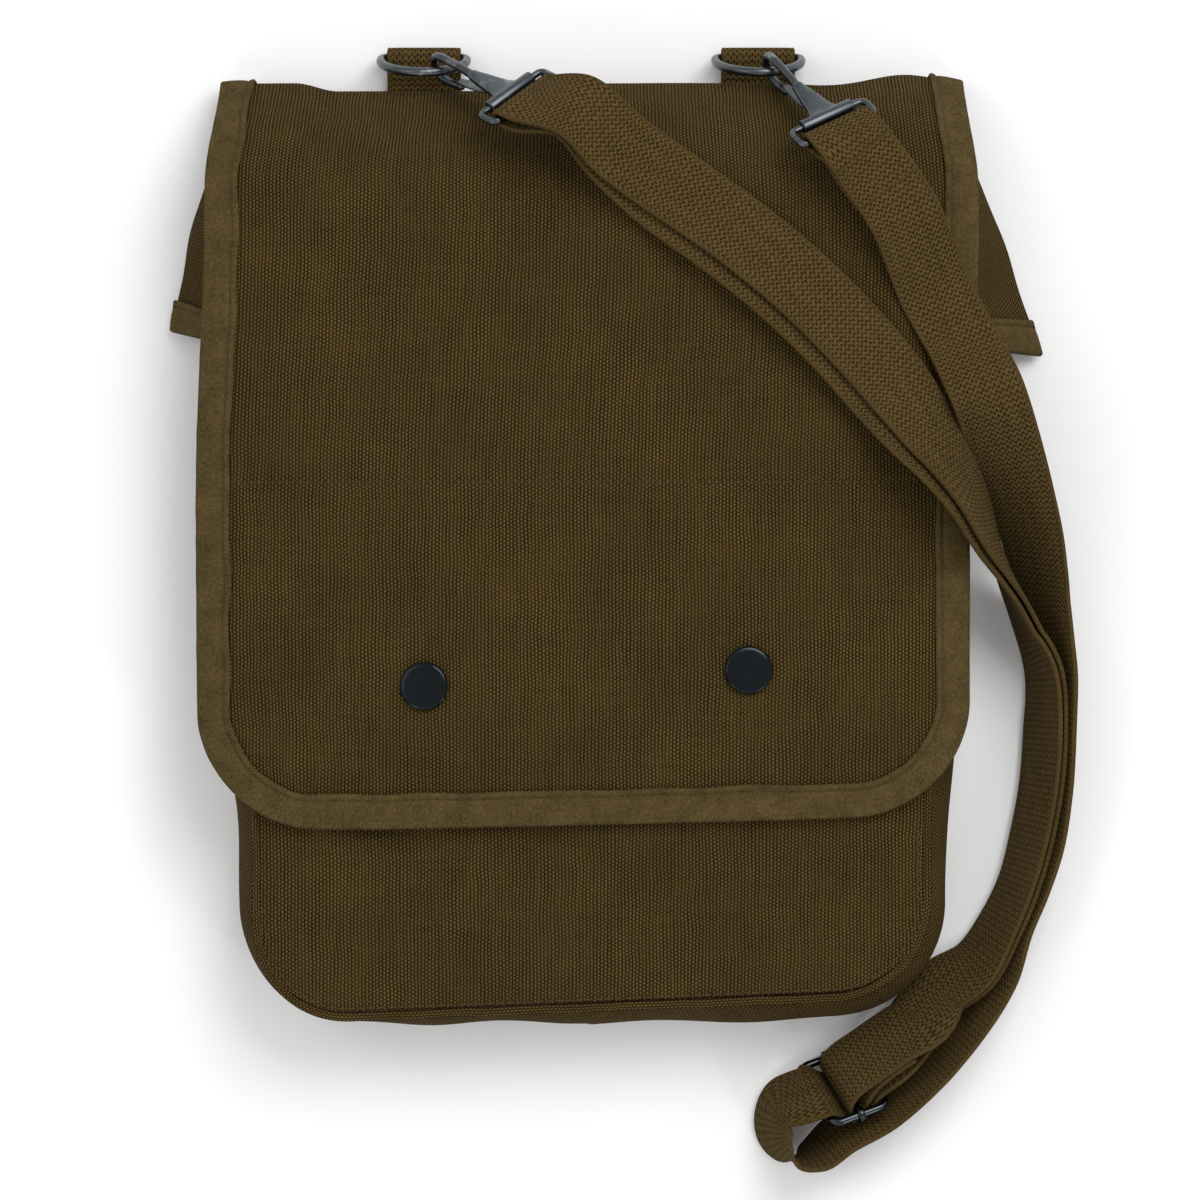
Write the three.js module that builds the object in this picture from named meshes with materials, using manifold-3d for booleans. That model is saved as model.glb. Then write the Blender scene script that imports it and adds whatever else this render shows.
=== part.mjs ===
// A canvas map case that lies on its back: a shallow bag with a side strip, a wide flap with bound
// edges and two press studs, two side ears, two webbing tabs with D-rings, two snap hooks and a
// webbing shoulder strap with a slide adjuster.
// Millimetres. X runs across the case, Y from its bottom to its top, Z up, away from the floor.
// The origin is the middle of the back, on the floor.

import * as THREE from "three";
import { mergeVertices } from "three/addons/utils/BufferGeometryUtils.js";
import Module from "manifold-3d";

const wasm = await Module();
wasm.setup();

// Cloth and clearances
const canvas = 1.4; // thickness of the body's cloth
const gap = 0.3; // what sewn or seated pieces keep between them
const webbingWidth = 25;
const webbing = 1.7; // thickness of the strap and tabs
const tape = 0.9; // thickness of the edge binding
const bindingWidth = 10.5;
const bindingGap = 0.4;

// Body: front panel, back panel and the strip between them
const panelHalfWidth = 112.5;
const mouthY = 140; // where the front panel and the strip end, under the flap
const panelBottomY = -150;
const cornerRadius = 32;
const sideDepth = 36; // height of the front seam above the floor
const crown = 13; // how much the filled front stands above its seam
const crownPower = 2.4;
const crownPeak = 0.42; // share of the panel's height where it is fullest
const crownAtMouth = 0.55; // share of the crown that is left at the mouth
const ridgeWidth = 1.8; // turned and stitched edge of the front panel
const ridgeHeight = 1.2;
const seamInset = 1.2; // how far the strip's edges lie inside the panels' outline

// How far the side strip bulges past the seam, by place round the body
const bulge = { mouth: 3, side: 10.5, corner: 8, bottom: 9.5 };
const frontSkew = 0.04; // the front's bottom edge runs up to the right

// Flap
const flapHalfWidth = 127.8;
const flapTopY = 158.5; // outer face at the top of the case
const flapBottomY = -91;
const flapCornerRadius = 38;
const flapBend = 45; // length of the slope from the front down to the top edge
const topEdge = 11; // height of the case at its top edge
const flapShift = -3; // the flap hangs a little to the left
const flapNarrowing = 0.026; // share of its width that it loses at the top edge
const flapSettle = 95; // length over which the shift and the narrowing come in
const flapTilt = 0.024; // the bottom edge runs up to the right
const edgeLift = 3.2; // space under the flap at its edges
const studLift = 3.7; // space under the flap where the studs are
const liftLength = 34;
const overhangSlope = 0.12; // how the flap droops past the front seam
const overhangCurve = 0.005;

// Tabs and D-rings
const tabStations = [
  { side: "left", x: -0.446 * flapHalfWidth },
  { side: "right", x: 0.442 * flapHalfWidth },
];
const tabSewnLength = 26;
const ringWire = 1.6; // radius
const ringInside = 25.6; // width between the D-ring's arms
const ringDepth = 21.5; // from the bar's middle line to the bow's
const ringCorner = 3;
const ringLean = 18.5; // degrees from upright, towards the case
const tabReach = 9.5; // from the case's top edge to the middle line of the rings' bars
const ringBarY = flapTopY + tabReach;

// Press studs
const studHeight = 47.5; // from the flap's bottom edge to the left stud
const studSkew = 3.1; // the right stud sits a little higher
const studs = [
  { side: "left", x: -0.432 * flapHalfWidth, y: flapBottomY + studHeight },
  { side: "right", x: 0.4053 * flapHalfWidth, y: flapBottomY + studHeight + studSkew },
];
const capRadius = 7.95;
const capPost = 2.6;
const studPost = 1.6;
const postClearance = 0.4;

// Ears
const earLength = 84;
const earBottomY = 68;
const ears = [
  { side: "left", sign: -1, splay: 20, drop: -6, swell: 6 },
  { side: "right", sign: 1, splay: 30, drop: 2, swell: 4 },
];

// Snap hooks
const hookReach = 34.5; // from the strap barrel to the middle of the bend
const hookBend = 5; // radius of the bend's middle line
const hookWire = 1.4;
const ringPlay = 2.8; // from the bend's inside to the ring's wire
const barrelRadius = 2.5;
const barrelLength = 19.5;
const loopWire = 1.2;
const loopDepth = 7.6; // from the barrel to the bar that holds the strap
const loopInside = 26;
const loopCorner = 2;
const tongueThickness = 0.8;
const hooks = [
  { side: "left", heading: 151, dip: 39.5, roll: 33, ringOffset: 8 },
  { side: "right", heading: 130, dip: 39.5, roll: 22, ringOffset: 5.2 },
];

// Slide adjuster. Its x and y are shares of the flap's half width and the case's half height.
const sliderReach = 9.8; // from the middle bar to each end rail
const sliderHalf = 14.3; // from the middle to each side rail
const sliderWire = 1.4;
const wrapStart = 190; // degrees round the middle bar where the webbing meets it
const wrapEnd = 320; // and where it leaves it
const slider = { x: 0.6659, y: -1.1984, z: 13, heading: -58, rise: 45, lead: 19 };

// What follows from the sizes
const layer = webbing + gap; // pitch of webbing layers that lie on each other
const tabStack = 2 * webbing + 3 * gap; // what lifts the back over the tabs' sewn ends
const flapWallY = flapTopY - canvas / 2;
const flapFrontY = flapWallY - flapBend;
const flapFrontLength = flapFrontY - flapBottomY;
const halfHeight = (flapTopY - panelBottomY) / 2;
const middleY = (flapTopY + panelBottomY) / 2;

const radians = THREE.MathUtils.degToRad;
const clamp = THREE.MathUtils.clamp;
const lerp = THREE.MathUtils.lerp;
const vector = (x, y, z) => new THREE.Vector3(x, y, z);

function smooth(from, to, value) {
  const t = clamp((value - from) / (to - from), 0, 1);
  return t * t * (3 - 2 * t);
}

// Solids from sections

// One closed body from rings of points. Each ring has as many points as the next. Its ends are
// closed by the triangles in cap, or the last ring meets the first when cap is null. Each
// four-sided patch is split along its shorter diagonal, or along the one nearer to a grain.
function solidFromRings(rings, cap, grain = null) {
  const size = rings[0].length;
  const points = rings.flat();
  const positions = points.flatMap((p) => [p.x, p.y, p.z]);
  const faces = [];
  const spans = cap ? rings.length - 1 : rings.length;
  for (let i = 0; i < spans; i++) {
    const here = i * size;
    const next = ((i + 1) % rings.length) * size;
    for (let j = 0; j < size; j++) {
      const [a, b, c, d] = [here + j, here + ((j + 1) % size), next + ((j + 1) % size), next + j];
      const first = points[c].clone().sub(points[a]);
      const second = points[d].clone().sub(points[b]);
      const turned = grain
        ? Math.abs(second.dot(grain)) > Math.abs(first.dot(grain)) + 1e-3
        : second.length() < first.length() - 1e-3;
      faces.push(...(turned ? [a, b, d, b, c, d] : [a, b, c, a, c, d]));
    }
  }
  const last = (rings.length - 1) * size;
  for (const [a, b, c] of cap ?? []) faces.push(a, c, b, last + a, last + b, last + c);
  return facingOut(positions, faces);
}

// Turns every face round where the body would be inside out.
function facingOut(positions, faces) {
  let volume = 0;
  const at = (i) => vector(positions[3 * i], positions[3 * i + 1], positions[3 * i + 2]);
  for (let i = 0; i < faces.length; i += 3) {
    volume += at(faces[i]).dot(at(faces[i + 1]).cross(at(faces[i + 2])));
  }
  if (volume < 0) faces.reverse();
  const geometry = new THREE.BufferGeometry();
  geometry.setAttribute("position", new THREE.Float32BufferAttribute(positions, 3));
  geometry.setIndex(faces);
  return geometry;
}

// Triangles that close a flat section given by its 2-D points.
const capOf = (section) => THREE.ShapeUtils.triangulateShape(section, []);

// The unit normal of a surface at (u, v), by small steps.
function normalOf(surface, u, v, step = 0.05) {
  const du = surface(u + step, v).sub(surface(u - step, v));
  const dv = surface(u, v + step).sub(surface(u, v - step));
  return du.cross(dv).normalize();
}

// A cloth wall: a grid on a surface, thickened along its normal. above and below give the
// distance of its two faces from the surface.
function clothWall(surface, grid, above, below = () => canvas / 2) {
  const rings = grid.map((row) => {
    const outer = row.map(([u, v]) => {
      return surface(u, v).addScaledVector(normalOf(surface, u, v), above(u, v));
    });
    const inner = row.map(([u, v]) => {
      return surface(u, v).addScaledVector(normalOf(surface, u, v), -below(u, v));
    });
    return [...outer, ...inner.reverse()];
  });
  const count = grid[0].length;
  const cap = [];
  for (let j = 0; j < count - 1; j++) {
    const across = 2 * count - 1 - j;
    cap.push([j, j + 1, across - 1], [j, across - 1, across]);
  }
  return solidFromRings(rings, cap);
}

// A bar of one section carried along stations, each with a centre and the section's two axes.
function sweep(stations, section, closed = false, grain = null) {
  const rings = stations.map(({ centre, across, normal }) =>
    section.map((p) => centre.clone().addScaledVector(across, p.x).addScaledVector(normal, p.y)),
  );
  return solidFromRings(rings, closed ? null : capOf(section), grain);
}

// A round section of so many sides.
function roundSection(radius, sides = 8) {
  return Array.from({ length: sides }, (_, i) => {
    const turn = (2 * Math.PI * (i + 0.5)) / sides;
    return new THREE.Vector2(radius * Math.cos(turn), radius * Math.sin(turn));
  });
}

// Webbing's section: flat faces and slightly rounded selvages.
const webbingSection = [
  [0.5 * webbingWidth, 0],
  [0.5 * webbingWidth - 0.5, 0.5 * webbing],
  [-0.5 * webbingWidth + 0.5, 0.5 * webbing],
  [-0.5 * webbingWidth, 0],
  [-0.5 * webbingWidth + 0.5, -0.5 * webbing],
  [0.5 * webbingWidth - 0.5, -0.5 * webbing],
].map(([x, y]) => new THREE.Vector2(x, y));

// Stations for webbing: the width direction is turned square to the way along.
function webbingStations(places) {
  return places.map(({ centre, across }, i) => {
    const before = places[Math.max(i - 1, 0)].centre;
    const after = places[Math.min(i + 1, places.length - 1)].centre;
    const along = after.clone().sub(before).normalize();
    const width = across.clone().addScaledVector(along, -along.dot(across)).normalize();
    return { centre, across: width, normal: along.clone().cross(width), along };
  });
}

// Boolean cuts and joins

function toSolid(geometry) {
  const plain = geometry.clone();
  plain.deleteAttribute("normal");
  plain.deleteAttribute("uv");
  const merged = mergeVertices(plain, 1e-4);
  return new wasm.Manifold(
    new wasm.Mesh({
      numProp: 3,
      vertProperties: Float32Array.from(merged.attributes.position.array),
      triVerts: Uint32Array.from(merged.index.array),
    }),
  );
}

function toGeometry(solid) {
  const mesh = solid.getMesh();
  const geometry = new THREE.BufferGeometry();
  geometry.setAttribute("position", new THREE.BufferAttribute(mesh.vertProperties, 3));
  geometry.setIndex(new THREE.BufferAttribute(mesh.triVerts, 1));
  return geometry;
}

function cut(geometry, ...tools) {
  return toGeometry(tools.reduce((solid, tool) => solid.subtract(toSolid(tool)), toSolid(geometry)));
}

function join(...geometries) {
  return toGeometry(geometries.map(toSolid).reduce((a, b) => a.add(b)));
}

// A round bar between two points.
function bar(from, to, radius, sides = 10) {
  const length = from.distanceTo(to);
  const turn = new THREE.Quaternion().setFromUnitVectors(
    vector(0, 1, 0),
    to.clone().sub(from).normalize(),
  );
  return new THREE.CylinderGeometry(radius, radius, length, sides)
    .applyQuaternion(turn)
    .translate(...from.clone().lerp(to, 0.5).toArray());
}

// Shape of the case

// Half the front panel's width at height y: straight sides and rounded bottom corners.
function panelHalfWidthAt(y) {
  const into = clamp(panelBottomY + cornerRadius - y, 0, cornerRadius);
  return panelHalfWidth - cornerRadius + Math.sqrt(cornerRadius ** 2 - into ** 2);
}

// The front slopes down to the top edge along a parabola.
function fallen(height, y) {
  const past = clamp((y - flapFrontY) / flapBend, 0, 1);
  return lerp(topEdge, height, 1 - past ** 2);
}

// Height of the front panel's outer face: a pillow that falls to the seam all round.
function frontHeight(x, y) {
  const up = clamp((y - panelBottomY) / (mouthY - panelBottomY), 0, 1);
  const low = 1 - clamp(1 - up / crownPeak, 0, 1) ** crownPower;
  const high = 1 - (1 - crownAtMouth) * smooth(crownPeak, 1, up);
  const across = 1 - clamp(Math.abs(x) / panelHalfWidth, 0, 1) ** crownPower;
  return fallen(sideDepth + crown * across * low * high, y);
}

// How far the bottom of the front is shifted up or down at x, for a point at height y.
const skewAt = (x, y) => frontSkew * x * smooth(-0.6 * panelHalfWidth, panelBottomY, y);

// Distance of a point of the front panel from its outline.
function distanceToSeam(x, y) {
  const cornerX = panelHalfWidth - cornerRadius;
  const cornerY = panelBottomY + cornerRadius;
  if (Math.abs(x) > cornerX && y < cornerY) {
    return cornerRadius - Math.hypot(Math.abs(x) - cornerX, y - cornerY);
  }
  return Math.min(panelHalfWidth - Math.abs(x), y - panelBottomY);
}

// Height of the flap's middle surface over the front of the case.
function flapHeight(x, y) {
  const past = Math.max(Math.abs(x) - panelHalfWidth, 0);
  const slope = (crown * crownPower * crownAtMouth) / panelHalfWidth + overhangSlope;
  const droop = slope * past + overhangCurve * past ** 2;
  const inward = 1 - clamp(Math.abs(x) / panelHalfWidth, 0, 1) ** 6;
  const lift = lerp(edgeLift, studLift, inward * smooth(0, liftLength, y - flapBottomY));
  return frontHeight(x, y) - droop + lift + canvas / 2;
}

// A point of the flap. p is the distance from its middle line. t is -2 to -1 up the top edge,
// -1 to 0 up the slope, and from 0 the millimetres down the front.
function flapPoint(p, t) {
  const down = smooth(0, flapSettle, Math.max(t, 0));
  const x = p * (1 - flapNarrowing * (1 - down)) + flapShift * down;
  if (t >= 0) {
    const y = flapFrontY - t + flapTilt * x * smooth(0, flapFrontLength, t);
    return vector(x, y, flapHeight(x, y));
  }
  if (t >= -1) {
    const y = flapFrontY - flapBend * t;
    return vector(x, y, flapHeight(x, y));
  }
  const hem = tabStack + canvas + gap;
  return vector(x, flapWallY, lerp(flapHeight(x, flapWallY), hem, -t - 1));
}

// Half the flap's width at t: rounded bottom corners.
function flapHalfWidthAt(t) {
  const into = clamp(t - (flapFrontLength - flapCornerRadius), 0, flapCornerRadius);
  const arc = Math.sqrt(flapCornerRadius ** 2 - into ** 2);
  return flapHalfWidth - flapCornerRadius + arc;
}

// Height of the flap's outer face, binding included, that the strap can lie on.
function flapCover(x, y) {
  const middle = flapShift * smooth(flapFrontY, flapFrontY - flapSettle, y);
  if (Math.abs(x - middle) > flapHalfWidth || y < flapBottomY - 2) return 0;
  const rim = Math.abs(x - middle) > flapHalfWidth - bindingWidth - 2 ? tape + gap : 0;
  return flapHeight(x, y) + canvas / 2 + rim;
}

// How far the side strip bulges at a point of its path.
function bulgeAt(x, y) {
  const cornerY = panelBottomY + cornerRadius;
  if (y >= cornerY) {
    const up = (y - cornerY) / (mouthY - cornerY);
    const low = lerp(bulge.corner, bulge.side, smooth(0, 0.25, up));
    return lerp(low, bulge.mouth, smooth(0.6, 1, up));
  }
  const middle = 1 - smooth(0.45, 0.95, Math.abs(x) / panelHalfWidth);
  return lerp(bulge.corner, bulge.bottom, middle);
}

// How far the tabs' sewn ends lift the back panel off the floor, and the rows where it bends.
const backBend = 20;
const backLift = (y) => tabStack * smooth(flapFrontY - backBend, flapFrontY, y);
const backRows = () => steps(flapFrontY - backBend, flapFrontY, 3);
const mouthRows = () => steps(flapFrontY, mouthY, 3);

// Evenly spaced numbers, both ends included.
function steps(from, to, count) {
  return Array.from({ length: count + 1 }, (_, i) => lerp(from, to, i / count));
}

// Distances down a rounded corner, from its start to its end.
const cornerSteps = (radius, count) =>
  steps(0, Math.PI / 2, count).map((turn) => radius * Math.sin(turn));

// Cloth pieces

function frontPanel() {
  const inner = [ridgeWidth, 2 * ridgeWidth];
  const straight = [
    ...mouthRows().slice(1),
    ...backRows().slice(1),
    ...steps(panelBottomY + cornerRadius, flapFrontY - backBend, 6),
  ];
  const corner = cornerSteps(cornerRadius, 6).map((d) => panelBottomY + cornerRadius - d);
  const seam = inner.map((d) => panelBottomY + d);
  const rows = [...straight, ...corner.slice(1), ...seam].sort((a, b) => b - a);
  const grid = rows.map((y) => {
    const half = panelHalfWidthAt(y);
    const middle = steps(-0.8 * half, 0.8 * half, 8);
    const left = [-half, -half + inner[0], -half + inner[1]];
    return [...left, ...middle, ...left.map((x) => -x).reverse()].map((x) => [x, y]);
  });
  const surface = (x, y) => vector(x, y + skewAt(x, y), frontHeight(x, y) - canvas / 2);
  const ridge = (x, y) => ridgeHeight * (1 - smooth(ridgeWidth, 2 * ridgeWidth, distanceToSeam(x, y)));
  return clothWall(surface, grid, (x, y) => canvas / 2 + ridge(x, y));
}

function backPanel() {
  const corner = cornerSteps(cornerRadius, 6).map((d) => panelBottomY + cornerRadius - d);
  const rows = [flapTopY, ...backRows().reverse(), ...corner];
  const grid = rows.map((y) => steps(-1, 1, 4).map((share) => [share * panelHalfWidthAt(y), y]));
  return clothWall((x, y) => vector(x, y, backLift(y) + canvas / 2), grid, () => canvas / 2);
}

// The path of the side strip, from the left of the mouth round the bottom to the right.
function stripPath() {
  const half = panelHalfWidth - seamInset;
  const bottom = panelBottomY + seamInset;
  const radius = cornerRadius - seamInset;
  const right = [];
  for (const x of steps(0, half - radius, 3).slice(0, -1)) right.push([x, bottom, 0, -1]);
  for (const turn of steps(0, Math.PI / 2, 6)) {
    const out = [Math.sin(turn), -Math.cos(turn)];
    right.push([half - radius + radius * out[0], bottom + radius + radius * out[1], ...out]);
  }
  const straight = [
    ...steps(bottom + radius, flapFrontY - backBend, 5).slice(1, -1),
    ...backRows(),
    ...mouthRows().slice(1),
  ];
  for (const y of straight) right.push([half, y, 1, 0]);
  const left = right.slice(1).map(([x, y, nx, ny]) => [-x, y, -nx, ny]);
  return [...left.reverse(), ...right];
}

function sideStrip() {
  const shares = [0, 0.12, 0.32, 0.5, 0.68, 0.88, 1];
  const rings = stripPath().map(([x, y, nx, ny]) => {
    const low = backLift(y) + canvas + gap;
    const high = fallen(sideDepth, y) - canvas - gap;
    const face = (offset) =>
      shares.map((share) => {
        const out = bulgeAt(x, y) * Math.sin(Math.PI * share) ** 0.85 + offset;
        const skew = skewAt(x, y) * share ** 2;
        return vector(x + out * nx, y + out * ny + skew, lerp(low, high, share));
      });
    return [...face(canvas / 2), ...face(-canvas / 2).reverse()];
  });
  const cap = [];
  for (let j = 0; j < shares.length - 1; j++) {
    const across = 2 * shares.length - 1 - j;
    cap.push([j, j + 1, across - 1], [j, across - 1, across]);
  }
  return solidFromRings(rings, cap);
}

// Rows down the flap, shared by the cloth and its binding.
const flapRows = [
  ...steps(-2, -1, 2),
  ...steps(-1, 0, 5).slice(1),
  ...steps(0, flapFrontLength - flapCornerRadius, 9).slice(1),
  ...cornerSteps(flapCornerRadius, 6)
    .slice(1)
    .map((d) => flapFrontLength - flapCornerRadius + d),
];
const flapColumns = 10;

function flap() {
  const grid = flapRows.map((t) => {
    const half = flapHalfWidthAt(t);
    const inner = steps(-half + bindingWidth, half - bindingWidth, flapColumns);
    return [-half, ...inner, half].map((p) => [p, t]);
  });
  const cloth = clothWall(flapPoint, grid, () => canvas / 2);
  const holes = studs.map((stud) => {
    const { place, axis } = studFrame(stud);
    const reach = axis.clone().multiplyScalar(canvas);
    return bar(place.clone().sub(reach), place.clone().add(reach), capPost + postClearance, 12);
  });
  return cut(cloth, ...holes);
}

// The binding's section: d runs in from the cloth's edge, h along its normal.
function bindingSection() {
  const inside = canvas / 2 + bindingGap;
  const outside = inside + tape;
  return [
    [bindingWidth, inside],
    [bindingWidth, outside],
    [0, outside],
    [-bindingGap - 0.8 * tape, 0.6 * outside],
    [-bindingGap - tape, 0],
    [-bindingGap - 0.8 * tape, -0.6 * outside],
    [0, -outside],
    [bindingWidth, -outside],
    [bindingWidth, -inside],
    [-bindingGap, -inside],
    [-bindingGap, inside],
  ].map(([d, h]) => new THREE.Vector2(d, h));
}

// Tape folded round an edge of a surface. Each stop gives a point of the edge and the way in.
function binding(surface, stops) {
  const section = bindingSection();
  const rings = stops.map(({ u, v, inU, inV }) => {
    const normal = normalOf(surface, u + inU, v + inV);
    return section.map((p) => {
      return surface(u + p.x * inU, v + p.x * inV).addScaledVector(normal, p.y);
    });
  });
  return solidFromRings(rings, capOf(section));
}

function flapBinding() {
  const start = flapFrontLength - flapCornerRadius;
  const right = flapRows
    .filter((t) => t <= start)
    .map((t) => ({ u: flapHalfWidth, v: t, inU: -1, inV: 0 }));
  for (const turn of steps(0, Math.PI / 2, 6).slice(1)) {
    right.push({
      u: flapHalfWidth - flapCornerRadius * (1 - Math.cos(turn)),
      v: start + flapCornerRadius * Math.sin(turn),
      inU: -Math.cos(turn),
      inV: -Math.sin(turn),
    });
  }
  const flat = flapHalfWidth - flapCornerRadius;
  for (const u of steps(flat, 0, 5).slice(1)) right.push({ u, v: flapFrontLength, inU: 0, inV: -1 });
  const left = right.slice(0, -1).map((stop) => ({ ...stop, u: -stop.u, inU: -stop.inU }));
  return binding(flapPoint, [...right, ...left.reverse()]);
}

// A point of an ear. p is 0 at its front edge and 1 at its back edge, and v the millimetres down.
// Its top edge follows the underside of the flap.
function earPoint({ sign, splay, drop, swell }) {
  return (p, v) => {
    const down = v / earLength;
    const front = vector(panelHalfWidth + lerp(7, 8.5, down), 0, lerp(0.76, 0.72, down) * sideDepth);
    const back = vector(panelHalfWidth + 8 + splay * down, 0, lerp(0.34, 0.07, down) * sideDepth);
    const point = front.clone().lerp(back, p);
    const room = clamp((point.z + 6 - topEdge) / (sideDepth - topEdge), 0, 1);
    const top = flapFrontY + flapBend * Math.sqrt(1 - room) - 3;
    const bow = Math.sin((Math.PI * clamp(p, 0, 1)) / 1.4) * Math.sin(Math.PI * clamp(down, 0, 1));
    point.x = sign * (point.x + swell * bow);
    point.y = lerp(top, earBottomY - drop * p, down);
    return point;
  };
}

function ear(shape) {
  const grid = steps(0, earLength, 8).map((v) => steps(0, 1, 6).map((p) => [p, v]));
  return clothWall(earPoint(shape), grid, () => canvas / 2);
}

function earBinding(shape) {
  const stops = steps(0, 1, 6).map((p) => ({ u: p, v: earLength, inU: 0, inV: -1 }));
  return binding(earPoint(shape), stops);
}

// Press studs

// Where a press stud stands on the flap, and which way it points.
function studFrame({ x, y }) {
  const down = smooth(0, flapSettle, flapFrontY - y);
  const p = (x - flapShift * down) / (1 - flapNarrowing * (1 - down));
  const t = flapFrontY - y;
  const axis = normalOf(flapPoint, p, t);
  if (axis.z < 0) axis.negate();
  return { place: flapPoint(p, t), axis };
}

const lathe = (profile) => {
  const points = profile.map(([r, z]) => new THREE.Vector2(r, z));
  return new THREE.LatheGeometry(points, 12).rotateX(Math.PI / 2);
};

// The cap on the flap, with its post and the socket under the flap. z is 0 in mid-cloth.
function studCap() {
  const top = canvas / 2 + gap;
  const under = -canvas / 2 - gap;
  return lathe([
    [0, under - 0.6],
    [3.2, under - 0.6],
    [3.2, under - 2],
    [5.2, under - 2],
    [5.6, under - 1.6],
    [5.6, under],
    [capPost, under],
    [capPost, top],
    [capRadius - 0.4, top],
    [capRadius, top + 0.4],
    [capRadius - 0.3, top + 1.3],
    [capRadius - 1.3, top + 1.8],
    [0, top + 1.6],
  ]);
}

// The stud on the front panel, with its knob in the socket and its washer inside the case.
function studBase() {
  const panelTop = -canvas / 2 - studLift;
  const flange = panelTop + gap;
  const inside = panelTop - canvas - gap;
  return lathe([
    [0, inside - 0.6],
    [4.5, inside - 0.6],
    [4.5, inside],
    [studPost, inside],
    [studPost, flange],
    [5, flange],
    [5, flange + 0.5],
    [2.3, flange + 0.5],
    [2.6, flange + 1.4],
    [1.8, flange + 2],
    [0, flange + 2],
  ]);
}

// Metal at the top

// Stations along a flat wire: points in a plane with axes right and up.
function planeStations(points, origin, right, up) {
  const normal = right.clone().cross(up);
  return points.map(([x, y], i) => {
    const [x0, y0] = points[(i - 1 + points.length) % points.length];
    const [x1, y1] = points[(i + 1) % points.length];
    const along = right.clone().multiplyScalar(x1 - x0).addScaledVector(up, y1 - y0).normalize();
    const centre = origin.clone().addScaledVector(right, x).addScaledVector(up, y);
    return { centre, across: along.clone().cross(normal), normal };
  });
}

// Points of a quarter turn about (x, y), from one angle to the next.
function arcPoints(x, y, radiusX, radiusY, from, to, count) {
  return steps(from, to, count).map((angle) => {
    const turn = radians(angle);
    return [x + radiusX * Math.cos(turn), y + radiusY * Math.sin(turn)];
  });
}

const ringUp = vector(0, -Math.sin(radians(ringLean)), Math.cos(radians(ringLean)));
const ringBarZ = ringWire + gap + webbing + gap;

// A D-ring: a straight bar in the tab's fold and a round bow that leans over the case.
function dRing(x) {
  const half = ringInside / 2 + ringWire;
  const shoulder = ringCorner + 1;
  const bow = ringDepth - shoulder;
  const points = [
    ...arcPoints(half - ringCorner, ringCorner, ringCorner, ringCorner, -90, 0, 3),
    ...arcPoints(0, shoulder, half, bow, 0, 180, 12),
    ...arcPoints(-half + ringCorner, ringCorner, ringCorner, ringCorner, 180, 270, 3),
  ];
  const stations = planeStations(points, vector(x, ringBarY, ringBarZ), vector(1, 0, 0), ringUp);
  return sweep(stations, roundSection(ringWire), true);
}

// A webbing tab: sewn flat under the back panel, out past the top, round the ring's bar and back.
function tab(x) {
  const turn = ringWire + gap + webbing / 2;
  const low = gap + webbing / 2;
  const high = low + layer;
  const fold = arcPoints(ringBarY, ringBarZ, turn, turn, 90, -90, 6);
  const path = [
    [flapTopY - tabSewnLength, high],
    [flapTopY - 8, high],
    [flapTopY, high],
    [lerp(flapTopY, ringBarY, 0.45), lerp(high, ringBarZ + turn, 0.55)],
    ...fold,
    [lerp(flapTopY, ringBarY, 0.35), low],
    [flapTopY, low],
    [flapTopY - tabSewnLength, low],
  ];
  const places = path.map(([y, z]) => ({ centre: vector(x, y, z), across: vector(1, 0, 0) }));
  return sweep(webbingStations(places), webbingSection);
}

// Snap hooks

// A hook's own frame: reach points from the strap to the bend, wide along the strap's width, and
// face towards the viewer. The bend lies round the ring's bow.
function hookFrame({ side, heading, dip, roll, ringOffset }) {
  const reach = vector(
    Math.cos(radians(heading)) * Math.cos(radians(dip)),
    Math.sin(radians(heading)) * Math.cos(radians(dip)),
    -Math.sin(radians(dip)),
  );
  const level = vector(Math.sin(radians(heading)), -Math.cos(radians(heading)), 0);
  const wide = level.applyAxisAngle(reach, radians(roll));
  const face = wide.clone().cross(reach);
  const ring = tabStations.find((tabAt) => tabAt.side === side);
  const half = ringInside / 2 + ringWire;
  const bow = ringDepth - ringCorner - 1;
  const rise = ringCorner + 1 + bow * Math.sqrt(1 - (ringOffset / half) ** 2);
  const held = vector(ring.x + ringOffset, ringBarY, ringBarZ).addScaledVector(ringUp, rise);
  const seat = hookReach + hookBend - hookWire - ringWire - ringPlay;
  const origin = held.addScaledVector(reach, -seat).addScaledVector(face, hookBend - 1.5);
  return { origin, reach, wide, face };
}

// A point given along reach, wide and face.
function hookPoint(frame, a, b, c) {
  return frame.origin
    .clone()
    .addScaledVector(frame.reach, a)
    .addScaledVector(frame.wide, b)
    .addScaledVector(frame.face, c);
}

// The matrix that puts a piece modelled along X, Y and Z into a frame. Every such piece is the
// same on both sides across its width.
function frameMatrix({ origin, reach, wide, face }) {
  return new THREE.Matrix4().makeBasis(reach, wide.clone().negate(), face).setPosition(origin);
}

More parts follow.
